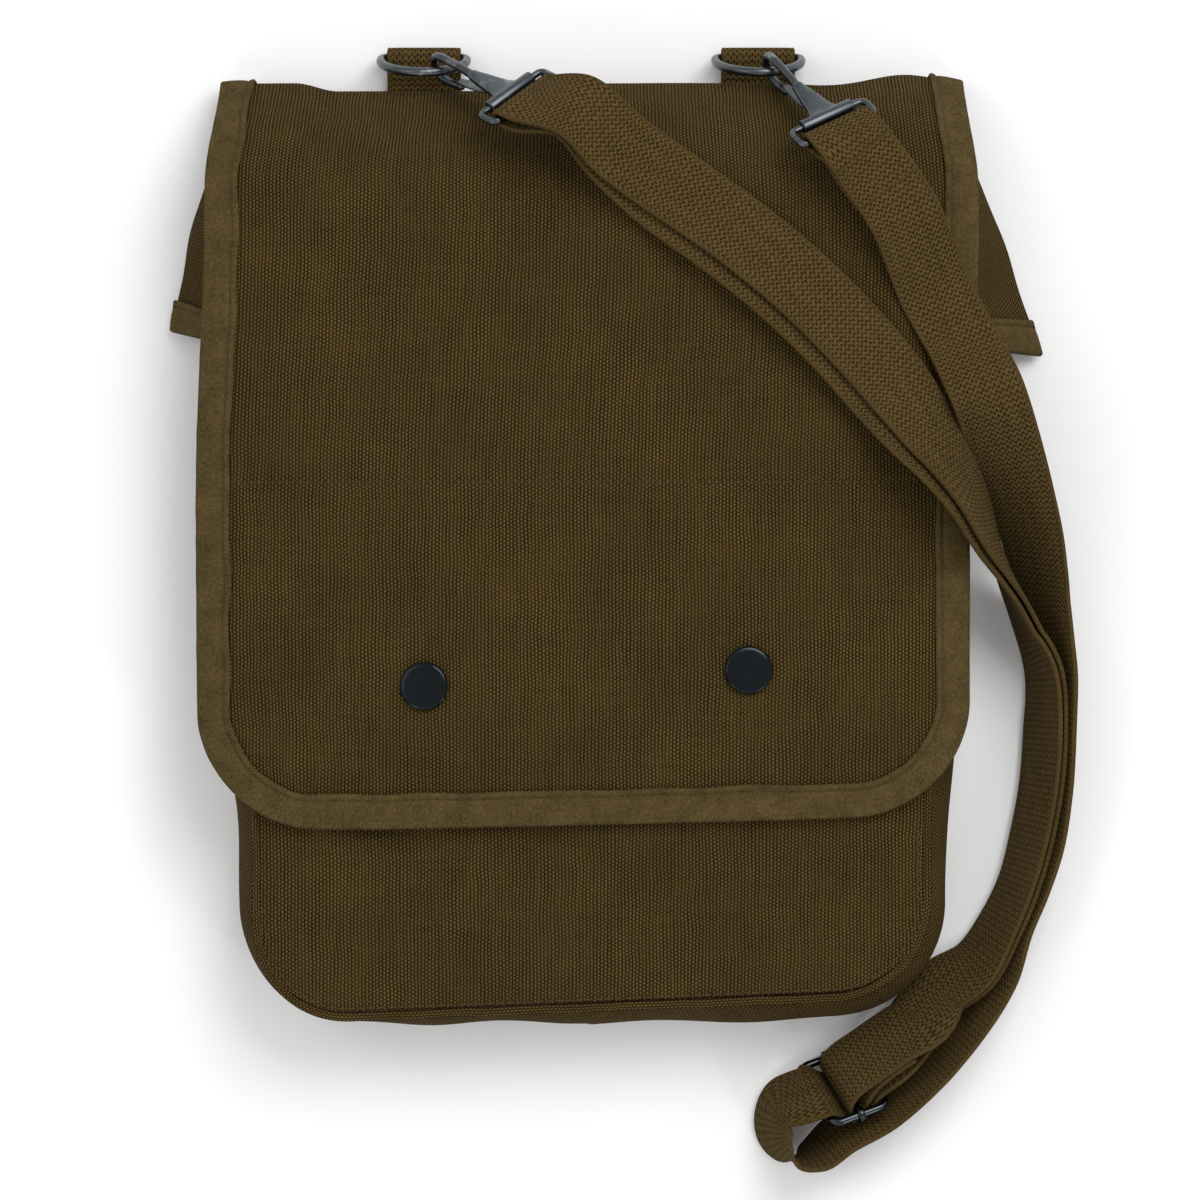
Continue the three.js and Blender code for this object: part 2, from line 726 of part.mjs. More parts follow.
// The cast body: a barrel for the strap's wire loop, a flat neck and a bent wire hook.
function hookBody() {
  const neck = new THREE.Shape();
  neck.moveTo(0.5, -8);
  neck.quadraticCurveTo(3.5, -4.6, 6.5, -4);
  neck.lineTo(19, -1.7);
  neck.lineTo(19, 1.7);
  neck.lineTo(6.5, 4);
  neck.quadraticCurveTo(3.5, 4.6, 0.5, 8);
  const neckPlate = new THREE.ExtrudeGeometry(neck, {
    depth: 2 * hookWire - 0.8,
    bevelThickness: 0.4,
    bevelSize: 0.4,
    bevelSegments: 1,
    curveSegments: 4,
  }).translate(0, 0, -hookWire + 0.4);
  const path = [
    [16, 0],
    [20, 0.3],
    [26, 1.1],
    ...arcPoints(hookReach, 1.5 - hookBend, hookBend, hookBend, 90, -90, 9),
    [hookReach - 4, 1.5 - 2 * hookBend + 0.2],
    [hookReach - 8.5, 1.5 - 2 * hookBend + 0.9],
  ];
  const places = path.map(([a, c]) => ({ centre: vector(a, 0, c), across: vector(0, 1, 0) }));
  const wire = sweep(webbingStations(places), roundSection(hookWire, 8));
  const barrel = bar(vector(0, -barrelLength / 2, 0), vector(0, barrelLength / 2, 0), barrelRadius, 12);
  const bore = bar(vector(0, -barrelLength, 0), vector(0, barrelLength, 0), loopWire + gap, 10);
  return cut(join(barrel, neckPlate, wire), bore);
}

// The wire loop that joins the barrel to the strap.
function hookLoop() {
  const side = loopInside / 2 + loopWire - loopCorner;
  const far = loopCorner - loopDepth;
  const points = [
    ...arcPoints(-loopCorner, side, loopCorner, loopCorner, 0, 90, 3),
    ...arcPoints(far, side, loopCorner, loopCorner, 90, 180, 3),
    ...arcPoints(far, -side, loopCorner, loopCorner, 180, 270, 3),
    ...arcPoints(-loopCorner, -side, loopCorner, loopCorner, 270, 360, 3),
  ];
  const stations = planeStations(points, vector(0, 0, 0), vector(1, 0, 0), vector(0, 1, 0));
  return sweep(stations, roundSection(loopWire), true);
}

// Where the spring tongue is riveted, and where its tip rests inside the hook's point.
const tongueRoot = { a: 9.5, c: -hookWire - gap - tongueThickness / 2 };
const tongueTip = {
  a: hookReach - 7,
  c: 1.5 - 2 * hookBend + 0.7 + hookWire + gap + tongueThickness / 2,
};

function hookTongue() {
  const along = vector(tongueTip.a - tongueRoot.a, 0, tongueTip.c - tongueRoot.c);
  const shape = new THREE.Shape();
  const length = along.length();
  shape.moveTo(0, -2.4);
  shape.lineTo(length * 0.25, -2.6);
  shape.lineTo(length, -1.3);
  shape.lineTo(length, 1.3);
  shape.lineTo(length * 0.25, 2.6);
  shape.lineTo(0, 2.4);
  const strip = new THREE.ExtrudeGeometry(shape, { depth: tongueThickness, bevelEnabled: false });
  return strip
    .translate(0, 0, -tongueThickness / 2)
    .rotateY(-Math.atan2(along.z, along.x))
    .translate(tongueRoot.a, 0, tongueRoot.c);
}

// Slide adjuster

// The adjuster's frame: reach runs along the strap, wide across it and face is the side seen.
function sliderFrame() {
  const wide = direction(slider.heading, slider.rise);
  const lead = direction(slider.lead, 0);
  const reach = lead.addScaledVector(vector(0, 0, 1), -lead.dot(wide) / wide.z).normalize();
  const origin = vector(slider.x * flapHalfWidth, slider.y * halfHeight + middleY, slider.z);
  return { origin, reach, wide, face: wide.clone().cross(reach) };
}

// A unit vector from a compass angle and a rise, in degrees.
function direction(heading, rise) {
  const level = Math.cos(radians(rise));
  return vector(
    level * Math.cos(radians(heading)),
    level * Math.sin(radians(heading)),
    Math.sin(radians(rise)),
  );
}

function sliderRim() {
  const turn = 3;
  const x = sliderReach - turn;
  const y = sliderHalf - turn;
  const points = [
    ...arcPoints(x, y, turn, turn, 0, 90, 3),
    [0, sliderHalf],
    ...arcPoints(-x, y, turn, turn, 90, 180, 3),
    ...arcPoints(-x, -y, turn, turn, 180, 270, 3),
    [0, -sliderHalf],
    ...arcPoints(x, -y, turn, turn, 270, 360, 3),
  ];
  const stations = planeStations(points, vector(0, 0, 0), vector(1, 0, 0), vector(0, 1, 0));
  return sweep(stations, roundSection(sliderWire), true);
}

// The middle bar, with an eye round each side rail.
function sliderBar() {
  const eyeRadius = sliderWire + gap + 0.9;
  const ends = [-1, 1].map((sign) => vector(0, sign * sliderHalf, 0));
  const eyes = ends.map((end) =>
    bar(end.clone().add(vector(-1.1, 0, 0)), end.clone().add(vector(1.1, 0, 0)), eyeRadius, 12),
  );
  const rails = ends.map((end) =>
    bar(end.clone().add(vector(-4, 0, 0)), end.clone().add(vector(4, 0, 0)), sliderWire + gap, 12),
  );
  return cut(join(bar(ends[0], ends[1], sliderWire, 10), ...eyes), ...rails);
}

// Shoulder strap

// The strap's route, by hand. x and y are shares of the flap's half width and the case's half
// height. heading and rise give the strap's width direction in degrees: towards the edge that
// stands up where it leaves the case. It lies on the flap or the floor, or hangs free at z, a
// share of sideDepth.
const rightStretch = [
  { x: 0.72, y: 0.8, heading: 25, rise: -12, z: 1.56 },
  { x: 0.81, y: 0.69, heading: 26, rise: -9, z: 1.49 },
  { x: 0.89, y: 0.538, heading: 25, rise: -8 },
  { x: 0.965, y: 0.425, heading: 21, rise: -10 },
  { x: 1.02, y: 0.325, heading: 18, rise: 2, z: 1.36 },
  { x: 1.068, y: 0.22, heading: 16, rise: 16, z: 1.18 },
  { x: 1.115, y: 0.11, heading: 14, rise: 30, z: 0.9 },
  { x: 1.155, y: 0.012, heading: 11, rise: 41, z: 0.64 },
  { x: 1.194, y: -0.12, heading: 6, rise: 52, z: 0.38 },
  { x: 1.222, y: -0.22, heading: 3, rise: 62 },
  { x: 1.236, y: -0.3, heading: 0, rise: 66 },
  { x: 1.234, y: -0.41, heading: -3, rise: 67 },
  { x: 1.221, y: -0.545, heading: -10, rise: 64 },
  { x: 1.195, y: -0.665, heading: -18, rise: 61 },
  { x: 1.157, y: -0.765, heading: -30, rise: 62 },
  { x: 1.115, y: -0.85, heading: -37, rise: 62 },
  { x: 1.078, y: -0.949, heading: -38, rise: 61 },
  { x: 0.997, y: -1.057, heading: -40, rise: 60 },
  { x: 0.885, y: -1.168, heading: -50, rise: 60 },
  { x: 0.772, y: -1.25, heading: -57, rise: 60 },
  { x: 0.665, y: -1.3, heading: -55, rise: 60 },
  { x: 0.592, y: -1.35, heading: -46, rise: 67 },
  { x: 0.55, y: -1.362, heading: -25, rise: 74 },
  { x: 0.516, y: -1.35, heading: 0, rise: 69 },
  { x: 0.494, y: -1.316, heading: 0, rise: 62 },
  { x: 0.486, y: -1.274, heading: -10, rise: 60, z: 0.34 },
  { x: 0.496, y: -1.244, heading: -30, rise: 58, z: 0.36 },
  { x: 0.518, y: -1.228, heading: -50, rise: 56, z: 0.41 },
  { x: 0.549, y: -1.219, heading: -58, rise: 50, z: 0.465 },
];

// The two layers between the left hook and the adjuster lie on each other, and this is the line
// between them.
const leftStretch = [
  { x: -0.04, y: 0.918, heading: -122, rise: 20, z: 1.68 },
  { x: 0.065, y: 0.842, heading: -122, rise: 10, z: 1.56 },
  { x: 0.205, y: 0.76, heading: -127, rise: 9 },
  { x: 0.357, y: 0.67, heading: -132, rise: 13 },
  { x: 0.51, y: 0.569, heading: -136, rise: 14 },
  { x: 0.654, y: 0.455, heading: -137, rise: 16 },
  { x: 0.79, y: 0.325, heading: -141, rise: 22 },
  { x: 0.882, y: 0.21, heading: -143, rise: 43 },
  { x: 0.965, y: 0.11, heading: -146, rise: 60, z: 1.4 },
  { x: 1.035, y: 0.01, heading: -150, rise: 74, z: 1.02 },
  { x: 1.103, y: -0.1, heading: 30, rise: 89, z: 0.62 },
  { x: 1.152, y: -0.19, heading: 20, rise: 81 },
  { x: 1.197, y: -0.298, heading: 8, rise: 70 },
  { x: 1.199, y: -0.42, heading: 0, rise: 65 },
  { x: 1.188, y: -0.54, heading: -9, rise: 65 },
  { x: 1.162, y: -0.655, heading: -17, rise: 65 },
  { x: 1.13, y: -0.752, heading: -30, rise: 66 },
  { x: 1.083, y: -0.84, heading: -37, rise: 63 },
  { x: 1.012, y: -0.935, heading: -43, rise: 53 },
  { x: 0.915, y: -0.99, heading: -48, rise: 43 },
];

const strapFloor = 0.3; // the strap's clearance over what it lies on
const pairPitch = 2.7; // from one of the two loose layers to the other
const slipOnFlap = 5; // how far the lower layer shows past the upper one
const slipBeside = 1;
const sewnLength = 34;
const strapStep = 13;
const strapTwist = radians(13); // most twist between two stations
const strapGrain = vector(0, 1, 1); // one way for all the layers that lie on each other

// The lower layer slips furthest on the flap and not at all at the hook.
function slipAt(y) {
  const onFlap = lerp(slipBeside, slipOnFlap, smooth(0, 0.35 * halfHeight, y));
  return onFlap * (1 - smooth(0.75 * halfHeight, 0.95 * halfHeight, y));
}

// The lowest that the middle of so many layers can be at a place, over the flap and the floor.
function restingHeight({ centre, across }, layers) {
  const half = webbing / 2 + ((layers - 1) * pairPitch) / 2;
  const level = Math.hypot(across.x, across.y);
  const reach = 0.5 + (layers - 1) * (slipAt(centre.y) / webbingWidth);
  const heights = steps(-0.5, reach, 10).map((share) => {
    const point = centre.clone().addScaledVector(across, share * webbingWidth);
    return flapCover(point.x, point.y) - (point.z - centre.z);
  });
  return Math.max(...heights) + (half + strapFloor) * level + strapFloor;
}

// Where one row of the route puts the middle of so many layers.
function routePlace({ x, y, heading, rise, z }, layers) {
  const centre = vector(x * flapHalfWidth, y * halfHeight + middleY, 0);
  const place = { centre, across: direction(heading, rise) };
  centre.z = z ? z * sideDepth : restingHeight(place, layers);
  return place;
}

// Lifts places that would sink into the flap or the floor.
function lifted(places, layers) {
  return places.map(({ centre, across }) => {
    const low = restingHeight({ centre, across: across.clone().normalize() }, layers);
    return { centre: vector(centre.x, centre.y, Math.max(centre.z, low)), across };
  });
}

// A smooth line through places, with steps of about the given length between them.
function smoothPlaces(places, step) {
  const at = (i) => places[clamp(i, 0, places.length - 1)];
  const out = [];
  for (let i = 0; i < places.length - 1; i++) {
    const length = at(i).centre.distanceTo(at(i + 1).centre);
    const twist = at(i).across.angleTo(at(i + 1).across);
    const count = Math.max(1, Math.round(length / step), Math.ceil(twist / strapTwist));
    const four = [at(i - 1), at(i), at(i + 1), at(i + 2)];
    for (let k = 0; k < count; k++) {
      out.push({
        centre: through(four, (place) => place.centre, k / count),
        across: through(four, (place) => place.across, k / count),
      });
    }
  }
  out.push(at(places.length - 1));
  return out;
}

// The Catmull-Rom curve between the second and third of four places, spaced by the root of the
// distances so that it doesn't overshoot.
function through(four, value, share) {
  const knots = [0];
  for (let i = 1; i < 4; i++) {
    const apart = four[i].centre.distanceTo(four[i - 1].centre);
    knots.push(knots[i - 1] + Math.max(Math.sqrt(apart), 1e-3));
  }
  const t = lerp(knots[1], knots[2], share);
  let points = four.map((place) => value(place).clone());
  for (let level = 1; level < 4; level++) {
    points = points.slice(1).map((after, i) => {
      const from = level === 3 ? knots[1] : knots[i];
      const to = level === 3 ? knots[2] : knots[i + level];
      return points[i].clone().lerp(after, (t - from) / (to - from));
    });
  }
  return points[0];
}

// The half turn of webbing round the bar of a hook's loop, on the side of the hook.
function barTurn(a, from, to) {
  const turn = loopWire + 2 * gap + webbing / 2;
  return arcPoints(a, 0, turn, turn, from, to, 6).map(([x, y]) => [2 * a - x, y]);
}

// Offsets a stack's middle line to one of its layers.
function layerOf(stations, height, aside = () => 0) {
  return stations.map(({ centre, across, normal }) => ({
    centre: centre.clone().addScaledVector(normal, height).addScaledVector(across, aside(centre.y)),
    across: across.clone(),
  }));
}

function strapPlaces() {
  const frames = Object.fromEntries(hooks.map((hook) => [hook.side, hookFrame(hook)]));
  const adjuster = sliderFrame();
  const local = (frame, rows, across = frame.wide) =>
    rows.map(([a, c]) => ({ centre: hookPoint(frame, a, 0, c), across: across.clone() }));

  // The right side: from the hook down to the floor and round the small loop. The sewn end lies
  // under its start.
  const turn = loopWire + 2 * gap + webbing / 2;
  const rightRows = rightStretch.map((row) => routePlace(row, 1));
  const lead = local(frames.right, [
    [-loopDepth - 1, turn],
    [-loopDepth - 8, turn - 0.6],
  ]);
  const down = lifted(webbingStations(smoothPlaces([...lead, ...rightRows], strapStep)), 1);
  const sewn = webbingStations(down).slice(1, Math.round(sewnLength / strapStep) + 1);
  const tail = [
    ...layerOf(sewn, -layer - gap).reverse(),
    ...local(frames.right, [[-loopDepth - 4.5, -1.6]]),
  ];

  // Through the adjuster: over one end rail, under the middle bar and over the other.
  const over = sliderWire + gap + webbing / 2;
  const under = over + layer;
  const threaded = local(adjuster, [
    [-sliderReach - 1.6, over + 0.45],
    [-sliderReach, over + 0.3],
    [-sliderReach + 2.4, 1.3],
    [-sliderReach + 3.8, -1],
    [-4.4, -3.1],
    [-2.2, -under + 0.2],
    [0, -under],
    [2.2, -under + 0.2],
    [4.4, -3.1],
    [sliderReach - 3.8, -1],
    [sliderReach - 2.4, 1.3],
    [sliderReach, over + 0.3],
    [sliderReach + 2.4, over + 1.4],
    [sliderReach + 9, over + 4.6],
  ]);

  // The upper layer up to the left hook, round its bar, and the lower layer back down.
  const middle = smoothPlaces(leftStretch.map((row) => routePlace(row, 2)), strapStep);
  const pair = webbingStations(lifted(webbingStations(middle), 2));
  const upper = layerOf(pair, -pairPitch / 2).reverse();
  const lower = layerOf(pair, pairPitch / 2, slipAt);
  const leftWidth = frames.left.wide.clone().negate();
  const turnAtLeft = local(
    frames.left,
    [
      [-loopDepth - 4, turn],
      ...barTurn(-loopDepth, 90, 270),
      [-loopDepth - 4, -turn],
    ],
    leftWidth,
  );

  // Round the middle bar, and the sewn end between the two layers.
  const fold = local(adjuster, [
    [sliderReach + 20, 17.2],
    [sliderReach + 12.5, 15.7],
    [sliderReach + 6, 13.2],
    [sliderReach - 1.3, 10.2],
    [1.5, 7.2],
    [-1.9, 3.4],
    ...arcPoints(0, 0, over, over, wrapStart, wrapEnd, 5),
    [3.4, 0.6],
    [5.6, 4],
    [sliderReach - 0.8, 7.5],
    [sliderReach + 6, 11],
    [sliderReach + 12.5, 13.5],
  ]);
  return [
    ...tail,
    ...local(frames.right, barTurn(-loopDepth, 270, 90)),
    ...down,
    ...threaded,
    ...upper,
    ...turnAtLeft,
    ...lower,
    ...fold,
  ];
}

function strap() {
  return sweep(webbingStations(strapPlaces()), webbingSection, false, strapGrain);
}

// Materials

const cloth = (color) => new THREE.MeshStandardMaterial({ color, roughness: 0.95, metalness: 0 });
const materials = {
  canvas: cloth(0x4a3b20),
  binding: cloth(0x54462b),
  webbing: cloth(0x4e3f25),
  metal: new THREE.MeshStandardMaterial({ color: 0x2b3033, roughness: 0.35, metalness: 0.9 }),
};

// Assembly

const mapCase = new THREE.Group();

function add(name, geometry, material, matrix = null) {
  const mesh = new THREE.Mesh(geometry, material);
  mesh.name = name;
  if (matrix) mesh.applyMatrix4(matrix);
  mapCase.add(mesh);
}

const studHoles = studs.map((stud) => {
  const { place, axis } = studFrame(stud);
  const panel = place.clone().addScaledVector(axis, -canvas - studLift);
  const reach = axis.clone().multiplyScalar(canvas);
  return bar(panel.clone().sub(reach), panel.clone().add(reach), studPost + postClearance, 12);
});

add("back_panel", backPanel(), materials.canvas);
add("side_strip", sideStrip(), materials.canvas);
add("front_panel", cut(frontPanel(), ...studHoles), materials.canvas);
add("flap", flap(), materials.canvas);
add("flap_binding", flapBinding(), materials.binding);

for (const shape of ears) {
  add(`ear_${shape.side}`, ear(shape), materials.canvas);
  add(`ear_binding_${shape.side}`, earBinding(shape), materials.binding);
}

for (const stud of studs) {
  const { place, axis } = studFrame(stud);
  const turn = new THREE.Quaternion().setFromUnitVectors(vector(0, 0, 1), axis);
  const matrix = new THREE.Matrix4().compose(place, turn, vector(1, 1, 1));
  add(`stud_cap_${stud.side}`, studCap(), materials.metal, matrix);
  add(`stud_base_${stud.side}`, studBase(), materials.metal, matrix);
}

for (const { side, x } of tabStations) {
  add(`tab_${side}`, tab(x), materials.webbing);
  add(`d_ring_${side}`, dRing(x), materials.metal);
}

for (const hook of hooks) {
  const matrix = frameMatrix(hookFrame(hook));
  add(`hook_body_${hook.side}`, hookBody(), materials.metal, matrix);
  add(`hook_loop_${hook.side}`, hookLoop(), materials.metal, matrix);
  add(`hook_tongue_${hook.side}`, hookTongue(), materials.metal, matrix);
}

const adjusterMatrix = frameMatrix(sliderFrame());
add("adjuster_frame", sliderRim(), materials.metal, adjusterMatrix);
add("adjuster_bar", sliderBar(), materials.metal, adjusterMatrix);
add("strap", strap(), materials.webbing);

export default mapCase;
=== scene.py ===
"""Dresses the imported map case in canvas, tape, webbing, thread and dark metal.

The case lies on its back on a pale floor and its front faces the camera. Shapes are worked out in
millimetres in the part's own frame: X across the case, Y from its bottom to its top and Z up. A
surface becomes a mesh in metres only when it is handed to Blender.
"""

import logging
import math
from dataclasses import dataclass, field
from enum import Enum
from typing import Any, Callable, Sequence

import bpy
import numpy as np
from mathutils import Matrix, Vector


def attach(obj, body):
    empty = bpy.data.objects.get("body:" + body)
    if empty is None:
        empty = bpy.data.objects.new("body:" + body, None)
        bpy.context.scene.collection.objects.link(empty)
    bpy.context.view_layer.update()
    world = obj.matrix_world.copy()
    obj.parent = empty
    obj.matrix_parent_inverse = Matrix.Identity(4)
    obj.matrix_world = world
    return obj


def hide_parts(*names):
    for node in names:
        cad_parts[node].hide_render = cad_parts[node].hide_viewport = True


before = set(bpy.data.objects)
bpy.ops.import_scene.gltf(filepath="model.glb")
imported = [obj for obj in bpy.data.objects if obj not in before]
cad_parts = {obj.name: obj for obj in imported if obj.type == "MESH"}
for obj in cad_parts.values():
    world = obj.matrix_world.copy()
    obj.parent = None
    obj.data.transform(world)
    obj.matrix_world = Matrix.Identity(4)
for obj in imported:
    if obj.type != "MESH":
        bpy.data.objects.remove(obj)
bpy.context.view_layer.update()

MM = 0.001
TAU = math.tau
Array = np.ndarray
Surface = Callable[[Array, Array], Array]
log = logging.getLogger("map_case")


class Slot(Enum):
    """The record's material slots."""

    CANVAS = "canvas"
    BINDING = "binding"
    WEBBING = "webbing"
    METAL = "metal"


class Side(Enum):
    """The left or the right of the case, as the camera sees it."""

    LEFT = "left"
    RIGHT = "right"


# Numbers, vectors and lines


def lerp(start: Any, end: Any, share: Any) -> Any:
    """Return the value a share of the way from start to end."""
    return start + (end - start) * share


def smooth(low: float, high: float, value: Any) -> Any:
    """Return 0 below low, 1 above high, and a soft step 3t^2 - 2t^3 between them."""
    t = np.clip((value - low) / (high - low), 0.0, 1.0)
    return t * t * (3.0 - 2.0 * t)


def bell(distance: Any, width: float) -> Any:
    """Return e to the power of minus the square of distance over width."""
    return np.exp(-((distance / width) ** 2))


def vectors(x: Any, y: Any, z: Any) -> Array:
    """Return arrays of coordinates as one array of points."""
    return np.stack(np.broadcast_arrays(x, y, z), axis=-1).astype(float)


def unit(vector: Array) -> Array:
    """Return vectors scaled to length 1."""
    return vector / np.linalg.norm(vector, axis=-1, keepdims=True)


def direction(heading: float, rise: float) -> Array:
    """Return the unit vector at a heading and a rise, both in degrees."""
    heading, rise = math.radians(heading), math.radians(rise)
    level = math.cos(rise)
    return np.array([level * math.cos(heading), level * math.sin(heading), math.sin(rise)])


def turned(vector: Array, axis: Array, degrees: float) -> Array:
    """Return a vector turned about a unit axis by Rodrigues' formula."""
    angle = math.radians(degrees)
    flat = math.cos(angle) * vector + math.sin(angle) * np.cross(axis, vector)
    return flat + (1.0 - math.cos(angle)) * np.dot(axis, vector) * axis


def ripples(x: Array, y: Array, wavelength: float, seed: int) -> Array:
    """Return soft random waves over x and y.

    The height is the sum of seven sines with random headings and phases and with wavelengths
    from 0.7 to 1.4 times the given one, divided by the root of their number.
    """
    draw = np.random.default_rng(seed)
    heading = draw.uniform(0.0, TAU, 7)
    length = wavelength * draw.uniform(0.7, 1.4, 7)
    phase = draw.uniform(0.0, TAU, 7)
    x, y = np.broadcast_arrays(x, y)
    travel = x[..., None] * np.cos(heading) + y[..., None] * np.sin(heading)
    return np.sin(TAU * travel / length + phase).sum(axis=-1) / math.sqrt(7.0)


def arc(x: float, y: float, radius_x: float, radius_y: float, start: float, end: float, count: int) -> Array:
    """Return points on an ellipse about (x, y) from one angle to another, in degrees."""
    turn = np.radians(np.linspace(start, end, count + 1))
    return np.stack([x + radius_x * np.cos(turn), y + radius_y * np.sin(turn)], axis=-1)


def normals(surface: Surface, u: Array, v: Array, step: float = 0.05) -> Array:
    """Return a surface's unit normals: the cross product of its two small differences."""
    du = surface(u + step, v) - surface(u - step, v)
    dv = surface(u, v + step) - surface(u, v - step)
    return unit(np.cross(du, dv))


def lengths_along(points: Array) -> Array:
    """Return the distance from the first point to each point of a line."""
    steps = np.linalg.norm(np.diff(points, axis=0), axis=-1)
    return np.concatenate([[0.0], np.cumsum(steps)])


@dataclass(frozen=True)
class Line:
    """A line that carries a section: its points and the direction of the section's width."""

    centre: Array
    across: Array

    def joined(self, *others: "Line") -> "Line":
        """Return this line followed by others."""
        parts = (self, *others)
        return Line(
            np.concatenate([part.centre for part in parts]),
            np.concatenate([part.across for part in parts]),
        )

    def backwards(self) -> "Line":
        """Return the line from its other end."""
        return Line(self.centre[::-1], self.across[::-1])

    def part(self, start: int, end: int) -> "Line":
        """Return the stations from start up to end."""
        return Line(self.centre[start:end], self.across[start:end])

    def along(self) -> Array:
        """Return the unit direction at each station, from its two neighbours."""
        last = len(self.centre) - 1
        index = np.arange(last + 1)
        after = self.centre[np.minimum(index + 1, last)]
        before = self.centre[np.maximum(index - 1, 0)]
        return unit(after - before)

    def squared(self) -> "Line":
        """Return the line with its width turned square to the way along."""
        along = self.along()
        lean = (along * self.across).sum(axis=-1, keepdims=True)
        return Line(self.centre, unit(self.across - along * lean))

    def normal(self) -> Array:
        """Return the direction square to the way along and to the width."""
        return np.cross(self.along(), self.across)

    def layer(self, height: float, aside: Any = 0.0) -> "Line":
        """Return the line moved along its normal and along its width."""
        shift = self.normal() * height + self.across * np.reshape(aside, (-1, 1))
        return Line(self.centre + shift, self.across)

    def refined(self, step: float, most_twist: float) -> "Line":
        """Return a smooth line through the stations.

        Each span is a Catmull-Rom curve whose knots are spaced by the root of the distances
        between four stations, worked out by repeated interpolation, so it doesn't overshoot.

        Args:
            step: the length between new stations, in millimetres.
            most_twist: the most that the width turns between two of them, in radians.

        Returns:
            The line with its new stations.
        """
        centre, across = self.centre, self.across
        spans = len(centre) - 1
        length = np.linalg.norm(np.diff(centre, axis=0), axis=-1)
        facing = unit(across)
        twist = np.arccos(np.clip((facing[1:] * facing[:-1]).sum(axis=-1), -1.0, 1.0))
        count = np.maximum(np.floor(length / step + 0.5), np.ceil(twist / most_twist))
        count = np.maximum(count, 1).astype(int)
        span = np.repeat(np.arange(spans), count)
        first = np.concatenate([[0], np.cumsum(count)[:-1]])
        share = (np.arange(count.sum()) - first[span]) / count[span]
        four = np.clip(span[:, None] + np.arange(-1, 3), 0, spans)
        apart = np.linalg.norm(np.diff(centre[four], axis=1), axis=-1)
        knots = np.cumsum(np.maximum(np.sqrt(apart), 1e-3), axis=1)
        knots = np.concatenate([np.zeros((len(knots), 1)), knots], axis=1)
        at = lerp(knots[:, 1], knots[:, 2], share)

        def through(values: Array) -> Array:
            """Return values on the curve, from four values per new station."""
            near = values[four]
            for level in (1, 2, 3):
                low = knots[:, 1:2] if level == 3 else knots[:, : 4 - level]
                high = knots[:, 2:3] if level == 3 else knots[:, level:4]
                weight = ((at[:, None] - low) / (high - low))[..., None]
                near = lerp(near[:, :-1], near[:, 1:], weight)
            return near[:, 0]

        return Line(
            np.concatenate([through(centre), centre[-1:]]),
            np.concatenate([through(across), across[-1:]]),
        )


# Meshes


@dataclass
class Shell:
    """Points and four-sided faces of one or more closed bodies, with a place on the cloth."""

    points: Array
    quads: Array
    cloth: Array

    @staticmethod
    def from_rings(rings: Array, cloth: Array | None = None, closed: bool = False) -> "Shell":
        """Return a closed body from rings of points.

        Each ring has as many points as the next and is joined to it. The last ring meets the
        first where closed, and otherwise both end rings are filled by strips from one half of
        the ring to the other. Faces are turned round where the enclosed volume is negative.

        Args:
            rings: points, shaped (rings, points in a ring, 3).
            cloth: the place of each point on the flat cloth in millimetres, shaped (rings,
                points, 2), or None where the finish doesn't need it.
            closed: whether the last ring meets the first.

        Returns:
            The body.
        """
        count, size = rings.shape[:2]
        index = np.arange(count * size).reshape(count, size)
        after = np.roll(index, -1, axis=0)
        here, there = (index, after) if closed else (index[:-1], after[:-1])
        quads = [
            np.stack(
                [here, np.roll(here, -1, axis=1), np.roll(there, -1, axis=1), there], axis=-1
            ).reshape(-1, 4)
        ]
        if not closed:
            near = np.arange(size // 2 - 1)
            far = size - 1 - near
            cap = np.stack([near, far, far - 1, near + 1], axis=-1)
            quads += [index[0][cap], index[-1][cap[:, ::-1]]]
        faces = np.concatenate(quads)
        points = rings.reshape(-1, 3)
        a, b, c, d = (points[faces[:, k]] for k in range(4))
        volume = (a * np.cross(b, c)).sum() + (a * np.cross(c, d)).sum()
        if volume < 0:
            faces = faces[:, ::-1]
        place = np.zeros((len(points), 2)) if cloth is None else cloth.reshape(-1, 2)
        return Shell(points, faces, place)

    @staticmethod
    def together(shells: Sequence["Shell"]) -> "Shell":
        """Return several bodies as one set of points and faces."""
        start = np.cumsum([0] + [len(shell.points) for shell in shells])
        return Shell(
            np.concatenate([shell.points for shell in shells]),
            np.concatenate([shell.quads + at for shell, at in zip(shells, start)]),
            np.concatenate([shell.cloth for shell in shells]),
        )

    def placed(self, origin: Array, axes: Array) -> "Shell":
        """Return the body carried from its own axes to the rows of axes about origin."""
        return Shell(origin + self.points @ axes, self.quads, self.cloth)

    def to_object(self, name: str, sharp: float = 40.0) -> bpy.types.Object:
        """Make a Blender object at the origin, smooth but for edges above an angle.

        Args:
            name: the piece's name.
            sharp: the angle between two faces, in degrees, above which their edge stays sharp.

        Returns:
            The new object, linked to the scene.
        """
        mesh = bpy.data.meshes.new(name)
        mesh.vertices.add(len(self.points))
        mesh.vertices.foreach_set("co", (self.points * MM).astype(np.float32).ravel())
        mesh.loops.add(self.quads.size)
        mesh.loops.foreach_set("vertex_index", self.quads.astype(np.int32).ravel())
        mesh.polygons.add(len(self.quads))
        mesh.polygons.foreach_set("loop_start", np.arange(0, self.quads.size, 4, dtype=np.int32))
        mesh.polygons.foreach_set("use_smooth", np.ones(len(self.quads), dtype=bool))
        layer = mesh.uv_layers.new(name="cloth")
        layer.data.foreach_set("uv", self.cloth[self.quads.ravel()].astype(np.float32).ravel())
        mesh.update(calc_edges=True)
        mesh.set_sharp_from_angle(angle=math.radians(sharp))
        piece = bpy.data.objects.new(name, mesh)
        bpy.context.scene.collection.objects.link(piece)
        return piece


